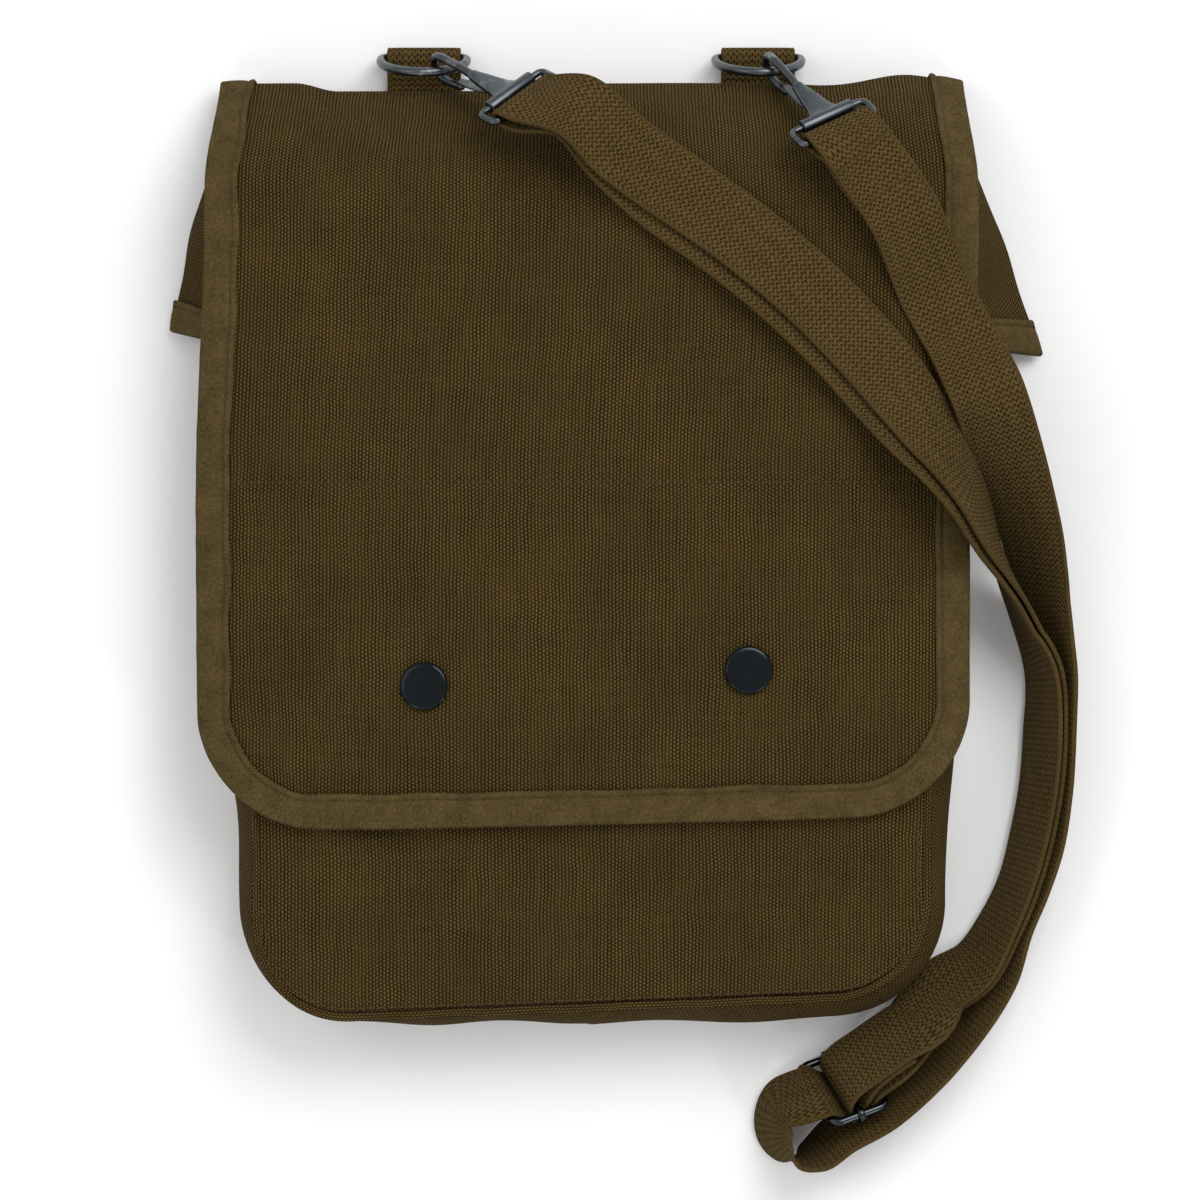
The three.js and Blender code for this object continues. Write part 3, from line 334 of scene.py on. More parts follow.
def cloth_wall(
    surface: Surface, u: Array, v: Array, cloth: Array, thickness: float
) -> Shell:
    """Return cloth of one thickness on a surface.

    The outer face is the surface moved by half the thickness along its normal and the inner
    face by as much the other way; the rims join them.

    Args:
        surface: the middle of the cloth, as points from u and v.
        u: the first parameter, a grid of rows and columns.
        v: the second parameter, the same grid.
        cloth: the place of each grid point on the flat cloth, in millimetres.
        thickness: the cloth's thickness, in millimetres.

    Returns:
        The closed wall.
    """
    middle = surface(u, v)
    half = 0.5 * thickness * normals(surface, u, v)
    rings = np.concatenate([middle + half, (middle - half)[:, ::-1]], axis=1)
    return Shell.from_rings(rings, np.concatenate([cloth, cloth[:, ::-1]], axis=1))


def sweep(line: Line, section: Array, cloth: Array | None = None, closed: bool = False) -> Shell:
    """Return a bar of one section carried along a line.

    A point of the section (w, h) lands w along the width and h along the normal.

    Args:
        line: the stations, with their width square to the way along.
        section: the section's points, shaped (points, 2), or one such section per station.
        cloth: the place across the cloth of each section point, or None.
        closed: whether the line's end meets its start.

    Returns:
        The closed body.
    """
    normal = line.normal()
    if closed:
        ahead = np.roll(line.centre, -1, axis=0) - np.roll(line.centre, 1, axis=0)
        normal = np.cross(unit(ahead), line.across)
    section = np.broadcast_to(section, (len(line.centre), *section.shape[-2:]))
    wide = line.across[:, None] * section[..., :1]
    high = normal[:, None] * section[..., 1:]
    rings = line.centre[:, None] + wide + high
    if cloth is None:
        return Shell.from_rings(rings, None, closed)
    down = lengths_along(line.centre)
    place = np.stack(np.broadcast_arrays(cloth[None, :], down[:, None]), axis=-1)
    return Shell.from_rings(rings, place, closed)


def round_section(radius: float, sides: int = 20) -> Array:
    """Return a circle's points."""
    turn = TAU * (np.arange(sides) + 0.5) / sides
    return radius * np.stack([np.cos(turn), np.sin(turn)], axis=-1)


def plane_wire(points: Array, radius: float, sides: int = 20) -> Shell:
    """Return a closed round wire along a loop of points in the plane of X and Y."""
    centre = vectors(points[:, 0], points[:, 1], 0.0)
    ahead = unit(np.roll(centre, -1, axis=0) - np.roll(centre, 1, axis=0))
    across = np.cross(ahead, np.array([0.0, 0.0, 1.0]))
    return sweep(Line(centre, across), round_section(radius, sides), closed=True)


def turned_body(profile: Array, sides: int = 72) -> Shell:
    """Return a profile of radius and height turned about Z.

    The profile is a closed loop of points, so that a pole is a tiny circle round the axis.
    """
    turn = TAU * np.arange(sides) / sides
    rings = vectors(
        profile[None, :, 0] * np.cos(turn)[:, None],
        profile[None, :, 0] * np.sin(turn)[:, None],
        profile[None, :, 1],
    )
    return Shell.from_rings(rings, None, closed=True)


def stitches(place: Array, along: Array, normal: Array, size: tuple[float, float, float]) -> Shell:
    """Return one small rounded thread per place.

    Each is five rings of six points; a ring's radius follows a half sine from end to end, and
    its middle rises by a third of the height.

    Args:
        place: the middle of each stitch, on the cloth.
        along: the direction of each stitch.
        normal: the direction away from the cloth.
        size: the thread's length, width and height, in millimetres.

    Returns:
        All the stitches.
    """
    length, width, height = size
    share = np.linspace(-0.5, 0.5, 5)
    fat = 0.35 + 0.65 * np.cos(share * math.pi)
    turn = TAU * (np.arange(6) + 0.5) / 6.0
    x = np.broadcast_to(share[:, None] * length, (5, 6))
    y = 0.5 * width * fat[:, None] * np.cos(turn)
    z = 0.5 * height * fat[:, None] * np.sin(turn) + height * fat[:, None] / 3.0
    one = Shell.from_rings(vectors(x, y, z))
    side = unit(np.cross(normal, along))
    axes = np.stack([unit(along), side, normal], axis=1)
    points = place[:, None] + one.points @ axes
    first = len(one.points) * np.arange(len(place))[:, None, None]
    grain = np.broadcast_to(one.points[None, :, :2], (len(place), len(one.points), 2))
    return Shell(points.reshape(-1, 3), (one.quads + first).reshape(-1, 4), grain.reshape(-1, 2))


# The shape of the case


@dataclass(frozen=True)
class CaseShape:
    """The surfaces of the case, in millimetres, from the sizes that the CAD part has."""

    canvas: float = 1.4
    gap: float = 0.3
    webbing_width: float = 25.0
    webbing: float = 1.7
    tape: float = 0.9
    binding_width: float = 10.5
    binding_gap: float = 0.4
    panel_half_width: float = 112.5
    mouth_y: float = 140.0
    panel_bottom_y: float = -150.0
    corner_radius: float = 32.0
    side_depth: float = 36.0
    crown: float = 13.0
    crown_power: float = 2.4
    crown_peak: float = 0.42
    crown_at_mouth: float = 0.55
    seam_inset: float = 1.2
    bulge_mouth: float = 3.0
    bulge_side: float = 10.5
    bulge_corner: float = 8.0
    bulge_bottom: float = 9.5
    front_skew: float = 0.04
    flap_half_width: float = 127.8
    flap_top_y: float = 158.5
    flap_bottom_y: float = -91.0
    flap_corner_radius: float = 38.0
    flap_bend: float = 45.0
    top_edge: float = 11.0
    flap_shift: float = -3.0
    flap_narrowing: float = 0.026
    flap_settle: float = 95.0
    flap_tilt: float = 0.024
    edge_lift: float = 3.2
    stud_lift: float = 3.7
    lift_length: float = 34.0
    overhang_slope: float = 0.12
    overhang_curve: float = 0.005
    back_bend: float = 20.0

    @property
    def layer(self) -> float:
        """The pitch of webbing layers that lie on each other."""
        return self.webbing + self.gap

    @property
    def tab_stack(self) -> float:
        """What lifts the back over the tabs' sewn ends."""
        return 2.0 * self.webbing + 3.0 * self.gap

    @property
    def flap_wall_y(self) -> float:
        """Where the flap's cloth turns down at the top of the case."""
        return self.flap_top_y - self.canvas / 2.0

    @property
    def flap_front_y(self) -> float:
        """Where the flap starts down the front."""
        return self.flap_wall_y - self.flap_bend

    @property
    def flap_front_length(self) -> float:
        """The flap's length down the front."""
        return self.flap_front_y - self.flap_bottom_y

    @property
    def half_height(self) -> float:
        """Half the height of the case."""
        return (self.flap_top_y - self.panel_bottom_y) / 2.0

    @property
    def middle_y(self) -> float:
        """The middle of the case's height."""
        return (self.flap_top_y + self.panel_bottom_y) / 2.0

    def panel_half_width_at(self, y: Array) -> Array:
        """Return half the front panel's width: straight sides and rounded bottom corners."""
        radius = self.corner_radius
        into = np.clip(self.panel_bottom_y + radius - y, 0.0, radius)
        return self.panel_half_width - radius + np.sqrt(np.maximum(radius**2 - into**2, 0.0))

    def fallen(self, height: Any, y: Array) -> Array:
        """Return a height of the front that falls to the top edge along a parabola."""
        past = np.clip((y - self.flap_front_y) / self.flap_bend, 0.0, 1.0)
        return lerp(self.top_edge, height, 1.0 - past**2)

    def front_height(self, x: Array, y: Array) -> Array:
        """Return the height of the front's outer face: a pillow that falls to its seam."""
        up = np.clip((y - self.panel_bottom_y) / (self.mouth_y - self.panel_bottom_y), 0.0, 1.0)
        low = 1.0 - np.clip(1.0 - up / self.crown_peak, 0.0, 1.0) ** self.crown_power
        high = 1.0 - (1.0 - self.crown_at_mouth) * smooth(self.crown_peak, 1.0, up)
        share = np.clip(np.abs(x) / self.panel_half_width, 0.0, 1.0)
        across = 1.0 - share**self.crown_power
        return self.fallen(self.side_depth + self.crown * across * low * high, y)

    def skew(self, x: Array, y: Array) -> Array:
        """Return how far the bottom of the front is shifted up or down."""
        return self.front_skew * x * smooth(0.6 * self.panel_half_width, -self.panel_bottom_y, -y)

    def distance_to_seam(self, x: Array, y: Array) -> Array:
        """Return the distance of a point of the front from its outline."""
        corner_x = self.panel_half_width - self.corner_radius
        corner_y = self.panel_bottom_y + self.corner_radius
        straight = np.minimum(self.panel_half_width - np.abs(x), y - self.panel_bottom_y)
        rounded = self.corner_radius - np.hypot(np.abs(x) - corner_x, y - corner_y)
        return np.where((np.abs(x) > corner_x) & (y < corner_y), rounded, straight)

    def flap_height(self, x: Array, y: Array) -> Array:
        """Return the height of the flap's middle over the front."""
        past = np.maximum(np.abs(x) - self.panel_half_width, 0.0)
        slope = self.crown * self.crown_power * self.crown_at_mouth / self.panel_half_width
        droop = (slope + self.overhang_slope) * past + self.overhang_curve * past**2
        inward = 1.0 - np.clip(np.abs(x) / self.panel_half_width, 0.0, 1.0) ** 6
        lift = lerp(
            self.edge_lift,
            self.stud_lift,
            inward * smooth(0.0, self.lift_length, y - self.flap_bottom_y),
        )
        return self.front_height(x, y) - droop + lift + self.canvas / 2.0

    def flap_point(self, p: Array, t: Array) -> Array:
        """Return a point of the flap.

        Args:
            p: the distance from the flap's middle line.
            t: -2 to -1 up the top edge, -1 to 0 up the slope, then the millimetres down the
                front.

        Returns:
            The points of the middle of the cloth.
        """
        down = smooth(0.0, self.flap_settle, np.maximum(t, 0.0))
        x = p * (1.0 - self.flap_narrowing * (1.0 - down)) + self.flap_shift * down
        tilt = self.flap_tilt * x * smooth(0.0, self.flap_front_length, t)
        front_y = self.flap_front_y - t + tilt
        slope_y = self.flap_front_y - self.flap_bend * t
        y = np.where(t >= 0, front_y, np.where(t >= -1, slope_y, self.flap_wall_y))
        height = self.flap_height(x, y)
        hem = self.tab_stack + self.canvas + self.gap
        z = np.where(t >= -1, height, lerp(height, hem, -t - 1.0))
        return vectors(x, y, z)

    def flap_half_width_at(self, t: Array) -> Array:
        """Return half the flap's width: rounded bottom corners."""
        radius = self.flap_corner_radius
        into = np.clip(t - (self.flap_front_length - radius), 0.0, radius)
        return self.flap_half_width - radius + np.sqrt(np.maximum(radius**2 - into**2, 0.0))

    def flap_cover(self, x: Array, y: Array) -> Array:
        """Return the height of the flap's outer face, binding included, or the floor's."""
        middle = self.flap_shift * smooth(-self.flap_front_y, self.flap_settle - self.flap_front_y, -y)
        aside = np.abs(x - middle)
        rim = np.where(
            aside > self.flap_half_width - self.binding_width - 2.0, self.tape + self.gap, 0.0
        )
        height = self.flap_height(x, y) + self.canvas / 2.0 + rim
        outside = (aside > self.flap_half_width) | (y < self.flap_bottom_y - 2.0)
        return np.where(outside, 0.0, height)

    def bulge_at(self, x: Array, y: Array) -> Array:
        """Return how far the side strip bulges past the seam."""
        corner_y = self.panel_bottom_y + self.corner_radius
        up = (y - corner_y) / (self.mouth_y - corner_y)
        low = lerp(self.bulge_corner, self.bulge_side, smooth(0.0, 0.25, up))
        side = lerp(low, self.bulge_mouth, smooth(0.6, 1.0, up))
        middle = 1.0 - smooth(0.45, 0.95, np.abs(x) / self.panel_half_width)
        return np.where(y >= corner_y, side, lerp(self.bulge_corner, self.bulge_bottom, middle))

    def back_lift(self, y: Array) -> Array:
        """Return how far the tabs' sewn ends lift the back off the floor."""
        return self.tab_stack * smooth(self.flap_front_y - self.back_bend, self.flap_front_y, y)

    def top_wave(self, x: Array) -> Array:
        """Return how far the case's top edge stands out past a straight one."""
        sunk = smooth(-100.0, -86.0, x) * (1.0 - smooth(-36.0, -4.0, x))
        return 2.9 * bell(x - 106.0, 14.0) - 0.8 * bell(x - 80.0, 12.0) - 2.7 * sunk

    def outline(self, inset: float, step: float) -> tuple[Array, Array, Array]:
        """Return the panels' outline from the left of the mouth round the bottom to the right.

        Args:
            inset: how far the line lies inside the outline.
            step: the distance between its points.

        Returns:
            The points in X and Y, the unit directions outwards, and the distance along.
        """
        flat_x = self.panel_half_width - self.corner_radius
        flat_y = self.panel_bottom_y + self.corner_radius
        radius = self.corner_radius - inset
        count = int(flat_x / step)
        x = np.linspace(0.0, flat_x, count, endpoint=False)
        bottom = np.stack([x, np.full_like(x, flat_y - radius)], axis=-1)
        turn = np.linspace(0.0, math.pi / 2, int(radius * 1.6 / step), endpoint=False)
        out = np.stack([np.sin(turn), -np.cos(turn)], axis=-1)
        corner = np.array([flat_x, flat_y]) + radius * out
        y = np.linspace(flat_y, self.mouth_y, int((self.mouth_y - flat_y) / step))
        side = np.stack([np.full_like(y, flat_x + radius), y], axis=-1)
        points = np.concatenate([bottom, corner, side])
        outward = np.concatenate(
            [np.tile([0.0, -1.0], (len(bottom), 1)), out, np.tile([1.0, 0.0], (len(side), 1))]
        )
        mirror = np.array([-1.0, 1.0])
        points = np.concatenate([(points * mirror)[:0:-1], points])
        outward = np.concatenate([(outward * mirror)[:0:-1], outward])
        return points, outward, lengths_along(points)


# Finishes


def linear(red: int, green: int, blue: int) -> tuple[float, float, float, float]:
    """Return a screen colour from 0 to 255 as the linear colour that a shader takes."""
    share = np.array([red, green, blue]) / 255.0
    light = np.where(share <= 0.04045, share / 12.92, ((share + 0.055) / 1.055) ** 2.4)
    return (*(float(value) for value in light), 1.0)


class Bench:
    """Adds nodes to one new material and links them."""

    def __init__(self, name: str) -> None:
        """Start a material of that name with its principled shader."""
        self.material = bpy.data.materials.new(name)
        self.material.use_nodes = True
        self.tree = self.material.node_tree
        self.shader = self.tree.nodes["Principled BSDF"]

    def feed(self, socket: bpy.types.NodeSocket, value: Any) -> None:
        """Link a socket to another, or set its value."""
        if isinstance(value, bpy.types.NodeSocket):
            self.tree.links.new(value, socket)
        else:
            socket.default_value = value

    def add(self, kind: str, inputs: dict[str, Any], **settings: Any) -> bpy.types.Node:
        """Add a node with its settings and inputs."""
        node = self.tree.nodes.new(kind)
        for key, value in settings.items():
            setattr(node, key, value)
        for key, value in inputs.items():
            self.feed(node.inputs[key], value)
        return node

    def math(self, operation: str, first: Any, second: Any = 0.0) -> bpy.types.NodeSocket:
        """Return the result of a sum of one or two values."""
        node = self.tree.nodes.new("ShaderNodeMath")
        node.operation = operation
        self.feed(node.inputs[0], first)
        self.feed(node.inputs[1], second)
        return node.outputs[0]

    def wave(self, value: Any, period: float, phase: Any = 0.0) -> bpy.types.NodeSocket:
        """Return the cosine of a value with a period in the same unit."""
        scaled = self.math("MULTIPLY", value, TAU / period)
        return self.math("COSINE", self.math("ADD", scaled, phase))

    def span(self, value: Any, low: float, high: float, to_low: float, to_high: float) -> Any:
        """Return a value carried from one range to another and held inside it."""
        node = self.add("ShaderNodeMapRange", {"Value": value})
        node.clamp = True
        for key, number in zip(
            ("From Min", "From Max", "To Min", "To Max"), (low, high, to_low, to_high)
        ):
            node.inputs[key].default_value = number
        return node.outputs[0]

    def noise(self, vector: Any, scale: float, detail: float = 2.0, rough: float = 0.5) -> Any:
        """Return noise from 0 to 1 over a vector."""
        inputs = {"Vector": vector, "Scale": scale, "Detail": detail, "Roughness": rough}
        return self.add("ShaderNodeTexNoise", inputs).outputs[0]

    def mix(self, share: Any, first: Any, second: Any, blend: str = "MIX") -> bpy.types.NodeSocket:
        """Return two colours mixed by a share."""
        node = self.tree.nodes.new("ShaderNodeMix")
        node.data_type = "RGBA"
        node.blend_type = blend
        self.feed(node.inputs[0], share)
        self.feed(node.inputs[6], first)
        self.feed(node.inputs[7], second)
        return node.outputs[2]

    def cloth_place(self) -> tuple[Any, Any, Any]:
        """Return the place on the flat cloth in millimetres: the vector, across and along."""
        place = self.add("ShaderNodeUVMap", {}, uv_map="cloth").outputs[0]
        parts = self.add("ShaderNodeSeparateXYZ", {"Vector": place})
        return place, parts.outputs[0], parts.outputs[1]

    def strayed(self, place: Any, value: Any, scale: float, amount: float) -> Any:
        """Return a value that strays by an amount either way, as yarns do."""
        drift = self.math("SUBTRACT", self.noise(place, scale), 0.5)
        return self.math("ADD", value, self.math("MULTIPLY", drift, 2.0 * amount))

    def stretched(self, place: Any, across: float, along: float) -> Any:
        """Return a place on the cloth with both its directions scaled."""
        inputs = {"Vector": place, "Scale": (across, along, 1.0)}
        return self.add("ShaderNodeMapping", inputs).outputs[0]

    def bump(self, height: Any, strength: float, distance: float) -> None:
        """Give the shader a bump of that depth in metres."""
        node = self.add(
            "ShaderNodeBump", {"Strength": strength, "Distance": distance, "Height": height}
        )
        self.feed(self.shader.inputs["Normal"], node.outputs[0])

    def finish(self, colour: Any, roughness: Any, **constants: float) -> bpy.types.Material:
        """Set the shader's colour, roughness and constants and return the material."""
        self.feed(self.shader.inputs["Base Color"], colour)
        self.feed(self.shader.inputs["Roughness"], roughness)
        for key, value in constants.items():
            self.shader.inputs[key.replace("_", " ")].default_value = value
        return self.material


@dataclass(frozen=True)
class CanvasFinish:
    """Plain-woven duck: warp ends show as light dots in columns, offset from one to the next."""

    end_pitch: float = 1.17
    dot_pitch: float = 1.32
    gap_colour: tuple = linear(25, 15, 0)
    yarn_colour: tuple = linear(95, 77, 42)

    def make(self) -> bpy.types.Material:
        """Return the material.

        The weave is cos(X) + cos(X / 2) cos(Y), with X once round per end and Y once round per
        dot: dots on a lattice whose neighbouring columns are offset by half a dot.
        """
        bench = Bench("canvas_duck")
        place, x, y = bench.cloth_place()
        x = bench.strayed(place, x, 0.07, 0.8)
        x = bench.strayed(place, x, 0.6, 0.1)
        y = bench.strayed(place, y, 0.5, 0.16)
        ends = bench.wave(x, self.end_pitch)
        dots = bench.math(
            "MULTIPLY", bench.wave(x, 2.0 * self.end_pitch), bench.wave(y, self.dot_pitch)
        )
        weave = bench.math("ADD", bench.math("MULTIPLY", ends, 0.8), dots)
        fibre = bench.noise(place, 1.7, 3.0, 0.7)
        ends_apart = bench.noise(bench.stretched(place, 0.8, 0.05), 1.0, 2.0, 0.6)
        picks_apart = bench.noise(bench.stretched(place, 0.06, 0.7), 1.0, 2.0, 0.6)
        yarns = bench.math("ADD", bench.math("MULTIPLY", ends_apart, 1.4), picks_apart)
        uneven = bench.math("ADD", bench.math("MULTIPLY", yarns, 0.5), fibre)
        weave = bench.math("ADD", weave, bench.math("MULTIPLY", uneven, 1.1))
        patch = bench.noise(place, 0.045, 3.0)
        contrast = bench.span(patch, 0.35, 0.7, 1.0, 0.75)
        level = bench.math("MULTIPLY", bench.math("SUBTRACT", weave, 1.2), contrast)
        share = bench.span(level, -0.85, 1.45, 0.0, 1.0)
        colour = bench.mix(share, self.gap_colour, self.yarn_colour)
        cloud = bench.noise(place, 0.03, 4.0, 0.55)
        tone = bench.span(cloud, 0.3, 0.7, 0.88, 1.16)
        bright = bench.add("ShaderNodeHueSaturation", {"Color": colour, "Value": tone})
        bench.bump(level, 0.55, 0.00022)
        return bench.finish(bright.outputs[0], 0.95, Specular_IOR_Level=0.1)


@dataclass(frozen=True)
class WebbingFinish:
    """Heavy cotton webbing: slanting yarns that meet in small V's, with a plain selvage."""

    row_pitch: float = 2.0
    column_pitch: float = 2.06
    selvage: float = 11.6
    pit_colour: tuple = linear(15, 8, 0)
    yarn_colour: tuple = linear(98, 79, 44)

    def make(self) -> bpy.types.Material:
        """Return the material.

        The yarns are cos(Y + Z), with Y once round per row and Z swinging from 0 to half a
        turn and back once per column. Pits lie where two yarns part, between the columns.
        """
        bench = Bench("webbing_cotton")
        place, x, y = bench.cloth_place()
        x = bench.strayed(place, x, 0.4, 0.45)
        y = bench.strayed(place, y, 0.5, 0.6)
        columns = bench.wave(x, self.column_pitch)
        swing = bench.math("MULTIPLY", bench.math("SUBTRACT", 1.0, columns), math.pi / 2.0)
        row = bench.math("MULTIPLY", y, TAU / self.row_pitch)
        yarns = bench.math("COSINE", bench.math("ADD", row, swing))
        furrow = bench.wave(x, 0.5 * self.column_pitch)
        relief = bench.math("SUBTRACT", yarns, bench.math("MULTIPLY", furrow, 0.45))
        aside = bench.math("ABSOLUTE", x)
        inside = bench.span(aside, self.selvage - 0.5, self.selvage, 1.0, 0.2)
        relief = bench.math("MULTIPLY", relief, inside)
        fibre = bench.noise(place, 2.0, 3.0, 0.7)
        streak = bench.noise(bench.stretched(place, 0.5, 0.04), 1.0, 2.0, 0.6)
        uneven = bench.math("ADD", bench.math("MULTIPLY", fibre, 1.6), bench.math("MULTIPLY", streak, 1.2))
        level = bench.math("ADD", relief, uneven)
        share = bench.span(level, -0.3, 3.0, 0.0, 1.0)
        colour = bench.mix(share, self.pit_colour, self.yarn_colour)
        bench.bump(level, 0.6, 0.00022)
        return bench.finish(colour, 0.95, Specular_IOR_Level=0.1)


@dataclass(frozen=True)
class TapeFinish:
    """Smooth twill tape: fine slanting ribs and little contrast."""

    rib_pitch: float = 0.95
    rib_colour: tuple = linear(100, 84, 50)
    valley_colour: tuple = linear(32, 22, 4)

    def make(self) -> bpy.types.Material:
        """Return the material: a cosine of across plus along, broken up by noise."""
        bench = Bench("twill_tape")
        place, x, y = bench.cloth_place()
        slant = bench.math("ADD", bench.math("MULTIPLY", x, 1.25), y)
        slant = bench.strayed(place, slant, 0.5, 0.3)
        ribs = bench.wave(slant, self.rib_pitch)
        grain = bench.noise(place, 0.9, 3.0, 0.7)
        cloud = bench.noise(place, 0.14, 4.0)
        level = bench.math("ADD", bench.math("MULTIPLY", ribs, 0.24), grain)
        level = bench.math("ADD", level, bench.math("MULTIPLY", cloud, 0.5))
        share = bench.span(level, 0.35, 1.15, 0.0, 1.0)
        colour = bench.mix(share, self.valley_colour, self.rib_colour)
        bench.bump(level, 0.4, 0.00012)
        return bench.finish(colour, 0.95, Specular_IOR_Level=0.12)


@dataclass(frozen=True)
class ThreadFinish:
    """Waxed sewing thread, a little darker than the cloth."""

    twist_pitch: float = 0.5
    light: tuple = linear(80, 64, 37)
    dark: tuple = linear(40, 29, 10)

    def make(self) -> bpy.types.Material:
        """Return the material: slanting plies along each stitch."""
        bench = Bench("sewing_thread")
        place, x, y = bench.cloth_place()
        plies = bench.wave(bench.math("ADD", x, y), self.twist_pitch)
        share = bench.span(plies, -1.0, 1.0, 0.25, 1.0)
        colour = bench.mix(share, self.dark, self.light)
        bench.bump(plies, 0.3, 0.00006)
        return bench.finish(colour, 0.8, Specular_IOR_Level=0.2)


@dataclass(frozen=True)
class GunmetalFinish:
    """Blued steel and zinc: dark, half glossy, with cloudy patches and small rubs."""

    name: str = "gunmetal"
    deep: tuple = (0.085, 0.096, 0.105, 1.0)
    rubbed: tuple = (0.3, 0.305, 0.31, 1.0)
    rub_level: float = 0.62
    roughness: float = 0.3

    def make(self) -> bpy.types.Material:
        """Return the material: rubs where slow noise is high, and a fine cast grain."""
        bench = Bench(self.name)
        place = bench.add("ShaderNodeTexCoord", {}).outputs["Object"]
        cloud = bench.noise(place, 160.0, 4.0, 0.6)
        grain = bench.noise(place, 2600.0, 2.0)
        rub = bench.span(
            bench.math("ADD", cloud, bench.math("MULTIPLY", grain, 0.1)),
            self.rub_level,
            self.rub_level + 0.2,
            0.0,
            1.0,
        )
        colour = bench.mix(rub, self.deep, self.rubbed)
        rough = bench.span(cloud, 0.3, 0.7, self.roughness - 0.06, self.roughness + 0.12)
        bench.bump(grain, 0.12, 0.00004)
        return bench.finish(colour, rough, Metallic=1.0)


@dataclass(frozen=True)
class FloorFinish:
    """A plain pale floor."""

    colour: tuple = (0.93, 0.93, 0.93, 1.0)

    def make(self) -> bpy.types.Material:
        """Return the material."""
        return Bench("pale_floor").finish(self.colour, 1.0, Specular_IOR_Level=0.0)


@dataclass
class Wardrobe:
    """The finishes, made once, and the way that a piece gets one."""

    canvas: bpy.types.Material = field(default_factory=lambda: CanvasFinish().make())
    webbing: bpy.types.Material = field(default_factory=lambda: WebbingFinish().make())
    tape: bpy.types.Material = field(default_factory=lambda: TapeFinish().make())
    thread: bpy.types.Material = field(default_factory=lambda: ThreadFinish().make())
    gunmetal: bpy.types.Material = field(default_factory=lambda: GunmetalFinish().make())
    # painted shade: a darker copy of the gunmetal for the stud caps, so that their up-facing tops look dark, as
    # if they reflect a dark room above
    shaded_cap_metal: bpy.types.Material = field(
        default_factory=lambda: GunmetalFinish(
            name="shaded_cap_metal", deep=(0.019, 0.023, 0.026, 1.0), rub_level=0.8, roughness=0.17
        ).make()
    )
    # painted shade: a darker copy of the gunmetal for the slide adjuster, so that it looks near-black, as if it
    # lies in shade at the case's lower right
    shaded_slide_metal: bpy.types.Material = field(
        default_factory=lambda: GunmetalFinish(
            name="shaded_slide_metal", deep=(0.042, 0.048, 0.053, 1.0), rub_level=0.75, roughness=0.13
        ).make()
    )

    def dress(
        self,
        piece: bpy.types.Object,
        material: bpy.types.Material,
        slot: Slot,
        body: str = "case",
        replaces: Sequence[str] = (),
    ) -> bpy.types.Object:
        """Give a piece its finish and the body it rides on, and hide the nodes it stands for."""
        piece.data.materials.clear()
        piece.data.materials.append(material)
        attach(piece, body)
        if replaces:
            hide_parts(*replaces)
        log.info("%s: %d faces on %s", piece.name, len(piece.data.polygons), body)
        return piece


# Cloth


